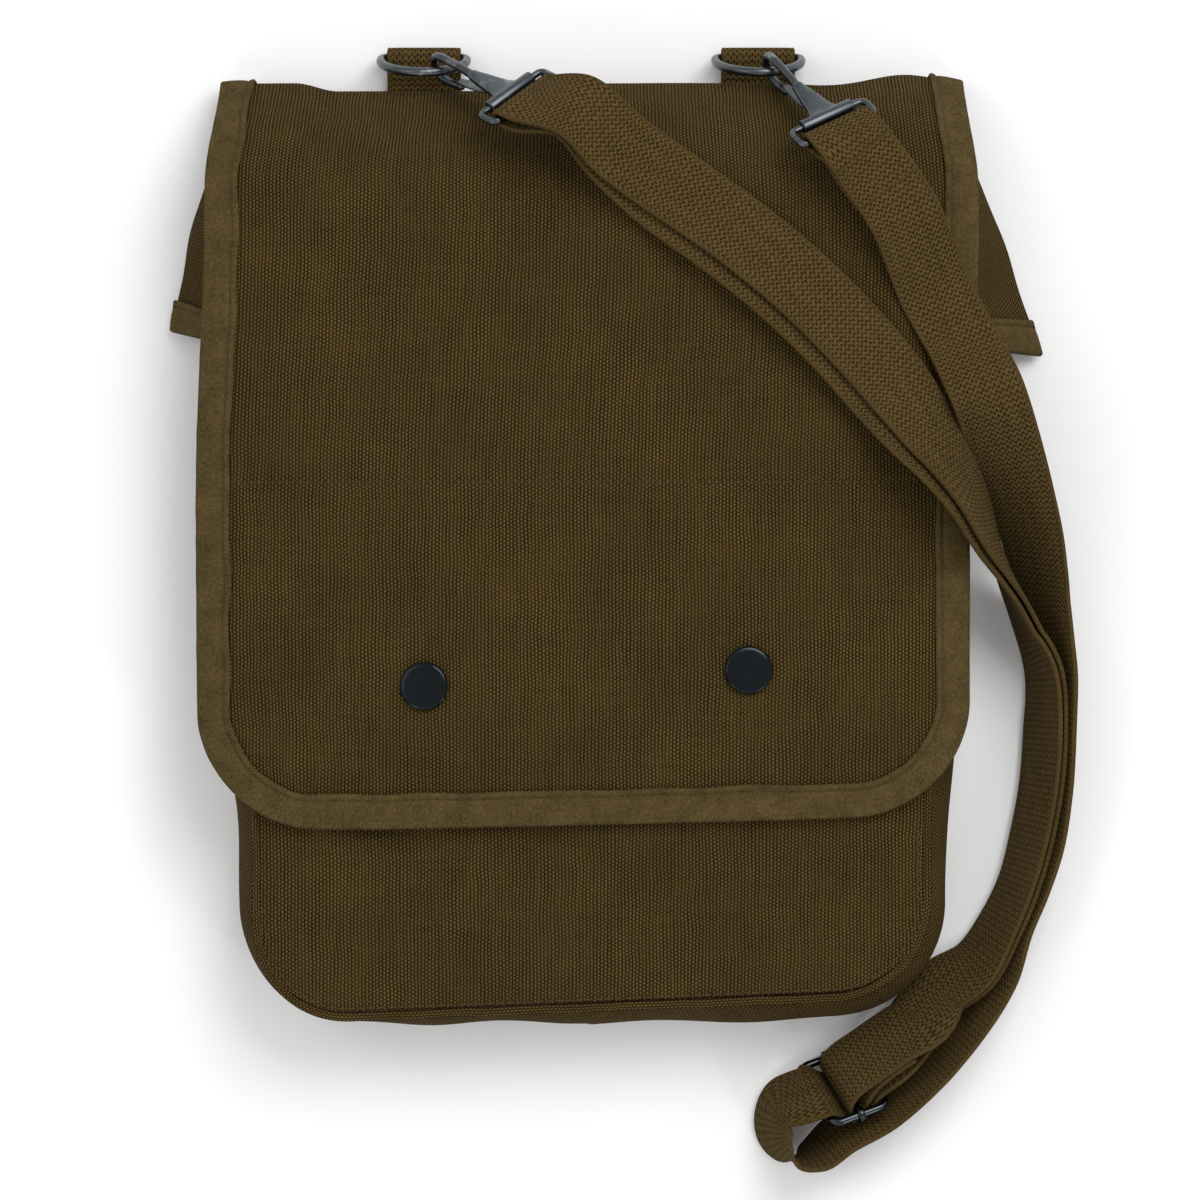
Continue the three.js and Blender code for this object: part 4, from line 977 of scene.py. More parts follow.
@dataclass
class Pouch:
    """The bag itself: its back, the strip round its sides and its front with a sewn rib."""

    shape: CaseShape
    wardrobe: Wardrobe
    rib_inset: float = 0.6
    rib_width: float = 3.0
    rib_height: float = 1.3
    rib_drop: float = 2.8
    stitch_inset: float = 3.6
    stitch_pitch: float = 3.3
    slack: float = 0.75
    tuck: float = 1.6

    def front_relief(self, x: Array, y: Array) -> Array:
        """Return the front's folds: waves that die out at the seam, and puckers beside it."""
        shape = self.shape
        inside = shape.distance_to_seam(x, y)
        waves = self.slack * ripples(x, y, 52.0, 21) + 0.3 * ripples(x, y, 21.0, 22)
        sag = (waves - 0.5) * smooth(3.0, 26.0, inside)
        around = np.arctan2(y + 20.0, x) * 100.0
        pucker = 0.28 * np.sin(TAU * around / 11.0) * bell(inside - 7.0, 4.5)
        return sag + pucker

    def front_surface(self, x: Array, y: Array) -> Array:
        """Return the middle of the front's cloth."""
        shape = self.shape
        z = shape.front_height(x, y) - shape.canvas / 2.0 + self.front_relief(x, y)
        return vectors(x, y + shape.skew(x, y), z)

    def front(self) -> None:
        """Build the front with the rib along its outline and the stitches inside the rib."""
        shape = self.shape
        flat_y = shape.panel_bottom_y + shape.corner_radius
        turn = np.linspace(0.0, math.pi / 2, 42)[1:]
        rows = np.concatenate(
            [
                np.linspace(shape.mouth_y, -78.0, 84),
                np.linspace(-78.0, flat_y, 34)[1:],
                flat_y - shape.corner_radius * np.sin(turn),
            ]
        )
        share = np.linspace(-1.0, 1.0, 136)
        y = np.repeat(rows[:, None], len(share), axis=1)
        x = shape.panel_half_width_at(y) * share
        wall = cloth_wall(self.front_surface, x, y, np.stack([x, y], axis=-1), shape.canvas)
        piece = Shell.together([wall, self.rib()]).to_object("front_cloth")
        self.wardrobe.dress(piece, self.wardrobe.canvas, Slot.CANVAS, replaces=["front_panel"])

        points, outward, run = shape.outline(self.stitch_inset, 1.0)
        at = np.arange(6.0, run[-1] - 6.0, self.stitch_pitch)
        x, y = np.interp(at, run, points[:, 0]), np.interp(at, run, points[:, 1])
        y = y - self.dropped(y)
        place = self.front_surface(x, y)
        normal = normals(self.front_surface, x, y)
        ahead = np.gradient(place, axis=0)
        shell = stitches(place + normal * (shape.canvas / 2.0), ahead, normal, (2.4, 0.85, 0.7))
        piece = shell.to_object("front_stitches")
        self.wardrobe.dress(piece, self.wardrobe.thread, Slot.CANVAS)

    def dropped(self, y: Array) -> Array:
        """Return how far the bottom seam hangs below the panel's outline."""
        return self.rib_drop * smooth(-self.shape.panel_bottom_y - 40.0, -self.shape.panel_bottom_y - 8.0, -y)

    def rib(self) -> Shell:
        """Return the turned edge: a flat oval of cloth carried along the outline."""
        shape = self.shape
        points, outward, run = shape.outline(self.rib_inset, 1.4)
        x, y = points[:, 0], points[:, 1]
        plump = 1.0 + 0.12 * np.sin(TAU * run / 3.3) + 0.1 * ripples(run, 0.0 * run, 14.0, 23)
        centre = self.front_surface(x, y)
        drop = self.dropped(y)
        centre[:, 1] -= drop
        centre[:, 2] += 0.5 * shape.canvas - 0.3 - 0.25 * drop
        across = vectors(outward[:, 0], outward[:, 1], 0.0)
        line = Line(centre, across).squared()
        section = round_section(1.0, 14) * np.array([0.5 * self.rib_width, self.rib_height])
        sections = section[None] * np.stack([np.ones_like(plump), plump], axis=-1)[:, None]
        return sweep(line, sections, section[:, 0] * 1.3)

    def side(self) -> None:
        """Build the strip round the sides: bulged between its seams, with folds and puckers."""
        shape = self.shape
        points, outward, run = shape.outline(shape.seam_inset, 1.9)
        x, y = points[:, :1], points[:, 1:]
        share = np.linspace(0.0, 1.0, 23)[None, :]
        low = shape.back_lift(y) + shape.canvas + shape.gap
        high = shape.fallen(shape.side_depth, y) - shape.canvas - shape.gap
        out = shape.bulge_at(x, y) * np.sin(math.pi * share) ** 0.85
        s = np.broadcast_to(run[:, None], out.shape)
        free = 1.0 - smooth(35.0, 62.0, y)
        folds = 0.55 * ripples(s, 30.0 * share, 40.0, 24) * np.sin(math.pi * share) * free
        out = out - self.tuck * np.where(x < 0.0, 1.0, 0.5) * bell(y + 112.0, 42.0)
        near_seam = bell(share, 0.16) + bell(1.0 - share, 0.16)
        pucker = 0.25 * np.sin(TAU * s / 10.0) * near_seam * np.sin(math.pi * share)
        out = out + folds + pucker
        rings = []
        for offset in (0.5 * shape.canvas, -0.5 * shape.canvas):
            reach = out + offset
            rings.append(
                vectors(
                    x + reach * outward[:, :1],
                    y + reach * outward[:, 1:] + shape.skew(x, y) * share**2,
                    lerp(low, high, share),
                )
            )
        cloth = np.stack([s + 40.0 * share, s - 40.0 * share], axis=-1) * math.sqrt(0.5)
        shell = Shell.from_rings(
            np.concatenate([rings[0], rings[1][:, ::-1]], axis=1),
            np.concatenate([cloth, cloth[:, ::-1]], axis=1),
        )
        piece = shell.to_object("side_cloth")
        self.wardrobe.dress(piece, self.wardrobe.canvas, Slot.CANVAS, replaces=["side_strip"])

    def back(self) -> None:
        """Build the back, flat on the floor and lifted over the tabs at its top."""
        shape = self.shape

        def surface(x: Array, y: Array) -> Array:
            """Return the middle of the cloth: the lift, and faint waves upwards."""
            inside = smooth(0.0, 20.0, shape.distance_to_seam(x, y))
            waves = 0.35 * (1.0 + ripples(x, y, 48.0, 25) / 2.6) * inside
            wavy = shape.top_wave(x) * smooth(shape.mouth_y, shape.flap_top_y, y)
            return vectors(x, y + wavy, shape.back_lift(y) + shape.canvas / 2.0 + waves)

        flat_y = shape.panel_bottom_y + shape.corner_radius
        turn = np.linspace(0.0, math.pi / 2, 14)[1:]
        rows = np.concatenate(
            [np.linspace(shape.flap_top_y, flat_y, 90), flat_y - shape.corner_radius * np.sin(turn)]
        )
        share = np.linspace(-1.0, 1.0, 76)
        y = np.repeat(rows[:, None], len(share), axis=1)
        x = shape.panel_half_width_at(y) * share
        wall = cloth_wall(surface, x, y, np.stack([x, y], axis=-1), shape.canvas)
        piece = wall.to_object("back_cloth")
        self.wardrobe.dress(piece, self.wardrobe.canvas, Slot.CANVAS, replaces=["back_panel"])

    def build(self) -> None:
        """Build all three pieces."""
        self.back()
        self.side()
        self.front()


@dataclass(frozen=True)
class Tape:
    """Tape folded round an edge, with a stitch groove and a lip along its inner side."""

    shape: CaseShape
    stitch_inset: float = 8.3
    groove: float = 0.5
    lip: float = 0.35
    stitch_pitch: float = 3.0

    def section(self) -> tuple[Array, Array]:
        """Return the section.

        Returns:
            Points of the distance in from the cloth's edge and the height along its normal, and
            the place of each across the flat tape.
        """
        shape = self.shape
        inner = shape.canvas / 2.0 + shape.binding_gap
        outer = inner + shape.tape
        edge = shape.binding_width
        raised = outer + self.lip
        face = np.array(
            [
                [edge, inner],
                [edge + 0.15, lerp(inner, raised, 0.5)],
                [edge - 0.2, raised - 0.1],
                [edge - 0.8, raised],
                [edge - 1.4, raised - 0.12],
                [self.stitch_inset, outer - self.groove],
                [self.stitch_inset - 0.7, outer - 0.1],
                [self.stitch_inset - 1.6, outer],
                [5.0, outer + 0.12],
                [2.5, outer + 0.08],
                [0.8, outer - 0.05],
            ]
        )
        turn = np.radians(np.linspace(68.0, -68.0, 7))
        fold = np.stack([-(shape.binding_gap + shape.tape) * np.cos(turn), outer * np.sin(turn)], axis=-1)
        under = face[::-1] * np.array([1.0, -1.0])
        seats = np.array([7.0, 3.0, 0.0, -shape.binding_gap])
        top = np.stack([seats, np.full(4, inner)], axis=-1)
        bottom = top * np.array([1.0, -1.0])
        points = np.concatenate([face, fold, under, bottom, top[::-1]])
        across = np.where(points[:, 1] >= 0, points[:, 0] + 2.0, -points[:, 0] - 2.0)
        return points, across

    def along_edge(self, surface: Surface, stops: Array, seed: int) -> Shell:
        """Return the tape along an edge.

        Args:
            surface: the cloth's middle surface.
            stops: rows of u, v and the way inwards in u and v.
            seed: what the tape's unevenness is drawn from.

        Returns:
            The closed tape.
        """
        section, across = self.section()
        u = stops[:, :1] + section[None, :, 0] * stops[:, 2:3]
        v = stops[:, 1:2] + section[None, :, 0] * stops[:, 3:]
        edge = surface(stops[:, 0], stops[:, 1])
        run = lengths_along(edge)
        uneven = 1.0 + 0.05 * ripples(run, 0.0 * run, 9.0, seed)[:, None]
        wander = 0.3 * ripples(run, 0.0 * run, 26.0, seed + 1)[:, None] * smooth(3.0, 9.0, section[None, :, 0])
        u, v = u + wander * stops[:, 2:3], v + wander * stops[:, 3:]
        normal = upward(normals(surface, u, v))
        rings = surface(u, v) + normal * (section[None, :, 1] * uneven)[..., None]
        place = np.stack(np.broadcast_arrays(across[None, :], run[:, None]), axis=-1)
        return Shell.from_rings(rings, place)

    def seam(self, surface: Surface, stops: Array) -> Shell:
        """Return the stitches in the tape's groove."""
        u = stops[:, 0] + self.stitch_inset * stops[:, 2]
        v = stops[:, 1] + self.stitch_inset * stops[:, 3]
        run = lengths_along(surface(u, v))
        at = np.arange(3.0, run[-1] - 3.0, self.stitch_pitch)
        u, v = np.interp(at, run, u), np.interp(at, run, v)
        place = surface(u, v)
        normal = upward(normals(surface, u, v))
        outer = self.shape.canvas / 2.0 + self.shape.binding_gap + self.shape.tape
        ahead = np.gradient(place, axis=0)
        return stitches(place + normal * (outer - self.groove - 0.08), ahead, normal, (2.2, 0.55, 0.4))


def upward(normal: Array) -> Array:
    """Return normals turned to point up, or to the top of the case where they lie level."""
    facing = normal[..., 2] + 0.2 * normal[..., 1]
    return normal * np.where(facing < 0, -1.0, 1.0)[..., None]


@dataclass
class Flap:
    """The flap: its cloth, the tape round it, a stitched line across it and two studs' dents."""

    shape: CaseShape
    wardrobe: Wardrobe
    tape: Tape
    studs: Sequence[tuple[float, float]]
    line_y: float = 23.0
    line_ends: tuple[float, float] = (-120.0, 111.0)
    slack: float = 0.7
    spring_length: float = 36.0
    fold_height: float = 1.1
    fold_length: float = 30.0
    drawn_up: float = 1.6

    def relief(self, x: Array, y: Array) -> Array:
        """Return the flap's folds.

        Waves of two lengths stay below the smooth surface, so that the strap still lies on it.
        A low swell and short creases ring each stud, and the stitched line pulls a groove.
        """
        waves = self.slack * (ripples(x, y, 66.0, 31) - 0.9) + 0.22 * ripples(x, y, 23.0, 32)
        rise = np.zeros_like(waves)
        for number, (stud_x, stud_y) in enumerate(self.studs):
            away = np.hypot(x - stud_x, y - stud_y)
            around = np.arctan2(y - stud_y, x - stud_x)
            waves = waves * smooth(7.0, 30.0, away)
            creases = 0.2 * np.cos(7.0 * around + number) * bell(away - 12.5, 4.5)
            rise = rise + 0.75 * bell(away - 15.5, 6.5) - 0.5 * bell(away, 9.5) + creases
        off = y - self.line_y
        within = smooth(self.line_ends[0] - 1.0, self.line_ends[0] + 1.0, x) * (
            1.0 - smooth(self.line_ends[1] - 1.0, self.line_ends[1] + 1.0, x)
        )
        tug = 0.14 * np.sin(TAU * x / 9.0) * bell(off, 6.0)
        return waves + rise - within * (0.38 * bell(off, 1.0) + tug)

    def surface(self, p: Array, t: Array) -> Array:
        """Return the middle of the flap's cloth with its folds.

        Below its top edge the cloth springs out to its full width. The top edge waves, and
        folds run down from it. The bottom edge is drawn up, most at its left corner.
        """
        shape = self.shape
        point = shape.flap_point(p, t)
        x, y = point[..., 0], point[..., 1]
        rest = 1.0 - smooth(0.0, shape.flap_settle, np.maximum(t, 0.0))
        spread = smooth(0.0, self.spring_length, shape.flap_wall_y - y)
        point[..., 2] += self.relief(x, y) * smooth(-1.6, -0.7, t)
        fold = bell(x + 98.0, 20.0) + bell(x - 100.0, 16.0) - 0.9 * bell(x + 52.0, 24.0)
        hung = 1.0 - smooth(-0.5, 0.6, t / self.fold_length)
        corner = bell(np.hypot(x + shape.flap_half_width, y - shape.flap_bottom_y), 34.0)
        point[..., 2] += self.fold_height * fold * smooth(-1.0, -0.8, t) * hung
        point[..., 1] += shape.top_wave(x) * (1.0 - smooth(-0.95, -0.3, t))
        point[..., 1] += self.drawn_up * (smooth(110.0, shape.flap_front_length, t) + corner)
        point[..., 0] += p * shape.flap_narrowing * rest * spread + self.drawn_up * corner
        return point

    def rows(self) -> Array:
        """Return the rows of the cloth, closer together by the stitched line."""
        shape = self.shape
        start = shape.flap_front_length - shape.flap_corner_radius
        turn = np.linspace(0.0, math.pi / 2, 34)[1:]
        line = shape.flap_front_y - self.line_y + np.array([-1.9, -1.3, -0.8, -0.4, 0.0, 0.4, 0.8, 1.3, 1.9])
        parts = [
            np.linspace(-2.0, -1.0, 9),
            np.linspace(-1.0, 0.0, 27),
            np.linspace(0.0, start, 96),
            start + shape.flap_corner_radius * np.sin(turn),
            line,
        ]
        return np.unique(np.round(np.concatenate(parts), 4))

    def stops(self) -> Array:
        """Return the edge from the top right down and round to the top left.

        Each row is p, t and the way inwards in p and t.
        """
        shape = self.shape
        radius = shape.flap_corner_radius
        start = shape.flap_front_length - radius
        t = np.concatenate(
            [np.linspace(-2.0, -1.0, 7), np.linspace(-1.0, 0.0, 26)[1:], np.linspace(0.0, start, 90)[1:]]
        )
        side = np.stack([np.full_like(t, shape.flap_half_width), t, -np.ones_like(t), 0.0 * t], axis=-1)
        turn = np.linspace(0.0, math.pi / 2, 34)[1:]
        corner = np.stack(
            [
                shape.flap_half_width - radius * (1.0 - np.cos(turn)),
                start + radius * np.sin(turn),
                -np.cos(turn),
                -np.sin(turn),
            ],
            axis=-1,
        )
        p = np.linspace(shape.flap_half_width - radius, 0.0, 48)[1:]
        bottom = np.stack([p, np.full_like(p, shape.flap_front_length), 0.0 * p, -np.ones_like(p)], axis=-1)
        right = np.concatenate([side, corner, bottom])
        left = right[:-1][::-1] * np.array([-1.0, 1.0, -1.0, 1.0])
        return np.concatenate([right, left])

    def cloth(self) -> None:
        shape = self.shape
        rows = self.rows()
        share = np.linspace(-1.0, 1.0, 150)
        t = np.repeat(rows[:, None], len(share), axis=1)
        p = shape.flap_half_width_at(t) * share
        column = len(share) // 2
        run = lengths_along(self.surface(p, t)[:, column])
        flat = np.stack([p, np.broadcast_to(-run[:, None], p.shape)], axis=-1)
        shell = cloth_wall(self.surface, p, t, flat, shape.canvas)
        piece = shell.to_object("flap_cloth")
        self.wardrobe.dress(piece, self.wardrobe.canvas, Slot.CANVAS, replaces=["flap"])

    def edge(self) -> None:
        """Build the tape round the edge, its stitches and the stitched line."""
        shape = self.shape
        stops = self.stops()
        piece = self.tape.along_edge(self.surface, stops, 35).to_object("flap_tape")
        self.wardrobe.dress(piece, self.wardrobe.tape, Slot.BINDING, replaces=["flap_binding"])

        seam = self.tape.seam(self.surface, stops)
        x = np.arange(self.line_ends[0], self.line_ends[1], 3.3)
        t = shape.flap_front_y - self.line_y + shape.flap_tilt * x * smooth(
            0.0, shape.flap_front_length, shape.flap_front_y - self.line_y
        )
        down = smooth(0.0, shape.flap_settle, t)
        p = (x - shape.flap_shift * down) / (1.0 - shape.flap_narrowing * (1.0 - down))
        place = self.surface(p, t)
        normal = upward(normals(self.surface, p, t))
        ahead = np.gradient(place, axis=0)
        line = stitches(place + normal * (shape.canvas / 2.0 - 0.05), ahead, normal, (2.6, 0.6, 0.42))
        piece = Shell.together([seam, line]).to_object("flap_stitches")
        self.wardrobe.dress(piece, self.wardrobe.thread, Slot.BINDING)

    def build(self) -> None:
        """Build the flap's pieces."""
        self.cloth()
        self.edge()


@dataclass
class Ear:
    """A side ear: a strip of canvas under the flap's edge, taped along its lower end."""

    shape: CaseShape
    wardrobe: Wardrobe
    tape: Tape
    side: Side
    splay: float
    drop: float
    swell: float
    length: float = 84.0
    bottom_y: float = 70.0

    def surface(self, p: Array, v: Array) -> Array:
        """Return a point of the ear, p from its front edge to its back edge and v down it."""
        shape = self.shape
        down = v / self.length
        depth = shape.side_depth
        front = (shape.panel_half_width + lerp(7.0, 8.5, down), lerp(0.76, 0.72, down) * depth)
        back = (shape.panel_half_width + 8.0 + self.splay * down, lerp(0.34, 0.07, down) * depth)
        x, z = lerp(front[0], back[0], p), lerp(front[1], back[1], p)
        room = np.clip((z + 6.0 - shape.top_edge) / (depth - shape.top_edge), 0.0, 1.0)
        top = shape.flap_front_y + shape.flap_bend * np.sqrt(1.0 - room) - 3.0
        bow = np.sin(math.pi * np.clip(p, 0.0, 1.0) / 1.4) * np.sin(math.pi * np.clip(down, 0.0, 1.0))
        x = x + self.swell * bow + 0.5 * ripples(24.0 * p, v, 30.0, 41) * bow
        y = lerp(top, self.bottom_y - self.drop * p, down)
        sign = -1.0 if self.side is Side.LEFT else 1.0
        return vectors(sign * x, y, z)

    def build(self) -> None:
        """Build the ear, its tape and its stitches."""
        shape, name = self.shape, self.side.value
        v, p = np.meshgrid(np.linspace(0.0, self.length, 56), np.linspace(0.0, 1.0, 26), indexing="ij")
        depth = np.linalg.norm(self.surface(1.0, self.length) - self.surface(0.0, self.length))
        flat = np.stack([p * depth, -v], axis=-1)
        shell = cloth_wall(self.surface, p, v, flat, shape.canvas)
        piece = shell.to_object(f"ear_cloth_{name}")
        self.wardrobe.dress(piece, self.wardrobe.canvas, Slot.CANVAS, replaces=[f"ear_{name}"])
        middle = self.surface(p, v)

        across = np.linspace(0.0, 1.0, 30)
        zero = np.zeros_like(across)
        stops = np.stack([across, zero + self.length, zero, zero - 1.0], axis=-1)
        piece = self.tape.along_edge(self.surface, stops, 43).to_object(f"ear_tape_{name}")
        self.wardrobe.dress(
            piece, self.wardrobe.tape, Slot.BINDING, replaces=[f"ear_binding_{name}"]
        )
        piece = self.tape.seam(self.surface, stops).to_object(f"ear_stitches_{name}")
        self.wardrobe.dress(piece, self.wardrobe.thread, Slot.BINDING)


# Metal


@dataclass
class PressStud:
    """A press stud's cap on the flap. Its base under the flap stays as the CAD part has it."""

    shape: CaseShape
    wardrobe: Wardrobe
    side: Side
    x: float
    y: float
    cap_radius: float = 7.95
    post: float = 2.6

    def axes(self) -> tuple[Array, Array]:
        """Return where the stud stands in the flap's cloth, and its three axes as rows."""
        shape = self.shape
        t = shape.flap_front_y - self.y
        down = smooth(0.0, shape.flap_settle, t)
        p = (self.x - shape.flap_shift * down) / (1.0 - shape.flap_narrowing * (1.0 - down))
        p, t = np.array([p]), np.array([t])
        axis = upward(normals(shape.flap_point, p, t))[0]
        side = unit(np.cross(np.array([0.0, 1.0, 0.0]), axis))
        return shape.flap_point(p, t)[0], np.stack([side, np.cross(axis, side), axis])

    def build(self) -> None:
        """Build the cap: a shallow dome with a rolled rim, its post and the socket."""
        shape, radius = self.shape, self.cap_radius
        top = shape.canvas / 2.0 + shape.gap
        under = -top
        rim = arc(radius - 0.85, top + 0.85, 0.85, 0.85, -90.0, 75.0, 9)
        dome = np.linspace(radius - 1.0, 0.02, 12)
        face = np.stack([dome, top + 1.72 + 0.28 * (1.0 - (dome / radius) ** 2)], axis=-1)
        below = np.array(
            [
                [0.02, under - 0.6],
                [3.0, under - 0.6],
                [3.2, under - 0.8],
                [3.2, under - 2.0],
                [5.2, under - 2.0],
                [5.6, under - 1.6],
                [5.6, under],
                [self.post, under],
                [self.post, top],
            ]
        )
        shell = turned_body(np.concatenate([below, rim, face]))
        piece = shell.placed(*self.axes()).to_object(f"stud_dome_{self.side.value}", 55.0)
        name = f"stud_cap_{self.side.value}"
        # the caps take the darker copy of the gunmetal, which paints shade on their tops
        self.wardrobe.dress(piece, self.wardrobe.shaded_cap_metal, Slot.METAL, replaces=[name])
        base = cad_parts[f"stud_base_{self.side.value}"]
        base.data.materials.clear()
        base.data.materials.append(self.wardrobe.gunmetal)


@dataclass
class TabAndRing:
    """A webbing tab sewn under the back, and the D-ring in its fold."""

    shape: CaseShape
    wardrobe: Wardrobe
    side: Side
    x: float
    wire: float = 1.6
    inside: float = 25.6
    depth: float = 21.5
    corner: float = 3.0
    lean: float = 18.5
    bar_y: float = 168.0
    sewn_length: float = 26.0

    @property
    def bar_z(self) -> float:
        """The height of the ring's bar."""
        return self.wire + 2.0 * self.shape.gap + self.shape.webbing

    @property
    def up(self) -> Array:
        """The way from the ring's bar to its bow."""
        lean = math.radians(self.lean)
        return np.array([0.0, -math.sin(lean), math.cos(lean)])

    def bow_point(self, aside: float) -> Array:
        """Return the point of the bow that lies so far from the ring's middle."""
        half = self.inside / 2.0 + self.wire
        bow = self.depth - self.corner - 1.0
        rise = self.corner + 1.0 + bow * math.sqrt(1.0 - (aside / half) ** 2)
        return np.array([self.x + aside, self.bar_y, self.bar_z]) + self.up * rise

    def ring(self) -> None:
        """Build the ring: a straight bar, two corners and half an ellipse of round wire."""
        half = self.inside / 2.0 + self.wire
        shoulder = self.corner + 1.0
        points = np.concatenate(
            [
                arc(half - self.corner, self.corner, self.corner, self.corner, -90.0, 0.0, 8),
                arc(0.0, shoulder, half, self.depth - shoulder, 0.0, 180.0, 60),
                arc(self.corner - half, self.corner, self.corner, self.corner, 180.0, 270.0, 8),
                np.stack([np.linspace(self.corner - half, half - self.corner, 12)[1:-1], np.zeros(10)], axis=-1),
            ]
        )
        axes = np.stack([np.array([1.0, 0.0, 0.0]), self.up, np.cross([1.0, 0.0, 0.0], self.up)])
        shell = plane_wire(points, self.wire).placed(np.array([self.x, self.bar_y, self.bar_z]), axes)
        piece = shell.to_object(f"ring_{self.side.value}")
        name = f"d_ring_{self.side.value}"
        self.wardrobe.dress(piece, self.wardrobe.gunmetal, Slot.METAL, replaces=[name])

    def tab(self) -> None:
        """Build the tab: flat under the back, out past the top, round the bar and back."""
        shape = self.shape
        turn = self.wire + shape.gap + shape.webbing / 2.0
        low = shape.gap + shape.webbing / 2.0
        high = low + shape.layer
        top = shape.flap_top_y
        path = np.concatenate(
            [
                [[top - self.sewn_length, high], [top - 8.0, high], [top, high]],
                [[lerp(top, self.bar_y, 0.45), lerp(high, self.bar_z + turn, 0.55)]],
                arc(self.bar_y, self.bar_z, turn, turn, 90.0, -90.0, 6),
                [[lerp(top, self.bar_y, 0.35), low], [top, low], [top - self.sewn_length, low]],
            ]
        )
        centre = vectors(self.x, path[:, 0], path[:, 1])
        line = Line(centre, np.tile([1.0, 0.0, 0.0], (len(centre), 1))).squared()
        section, across = webbing_section(shape)
        shell = sweep(line.refined(1.2, 0.2).squared(), section, across)
        piece = shell.to_object(f"tab_webbing_{self.side.value}")
        name = f"tab_{self.side.value}"
        self.wardrobe.dress(piece, self.wardrobe.webbing, Slot.WEBBING, replaces=[name])


@dataclass(frozen=True)
class HookFrame:
    """A hook's own axes: reach from the strap to the bend, wide and the face that is seen."""

    origin: Array
    reach: Array
    wide: Array
    face: Array

    def point(self, a: Any, b: Any, c: Any) -> Array:
        """Return points given along reach, wide and face."""
        a, b, c = (np.asarray(value, dtype=float)[..., None] for value in (a, b, c))
        return self.origin + a * self.reach + b * self.wide + c * self.face

    @property
    def axes(self) -> Array:
        """The axes as rows, right-handed."""
        return np.stack([self.reach, -self.wide, self.face])


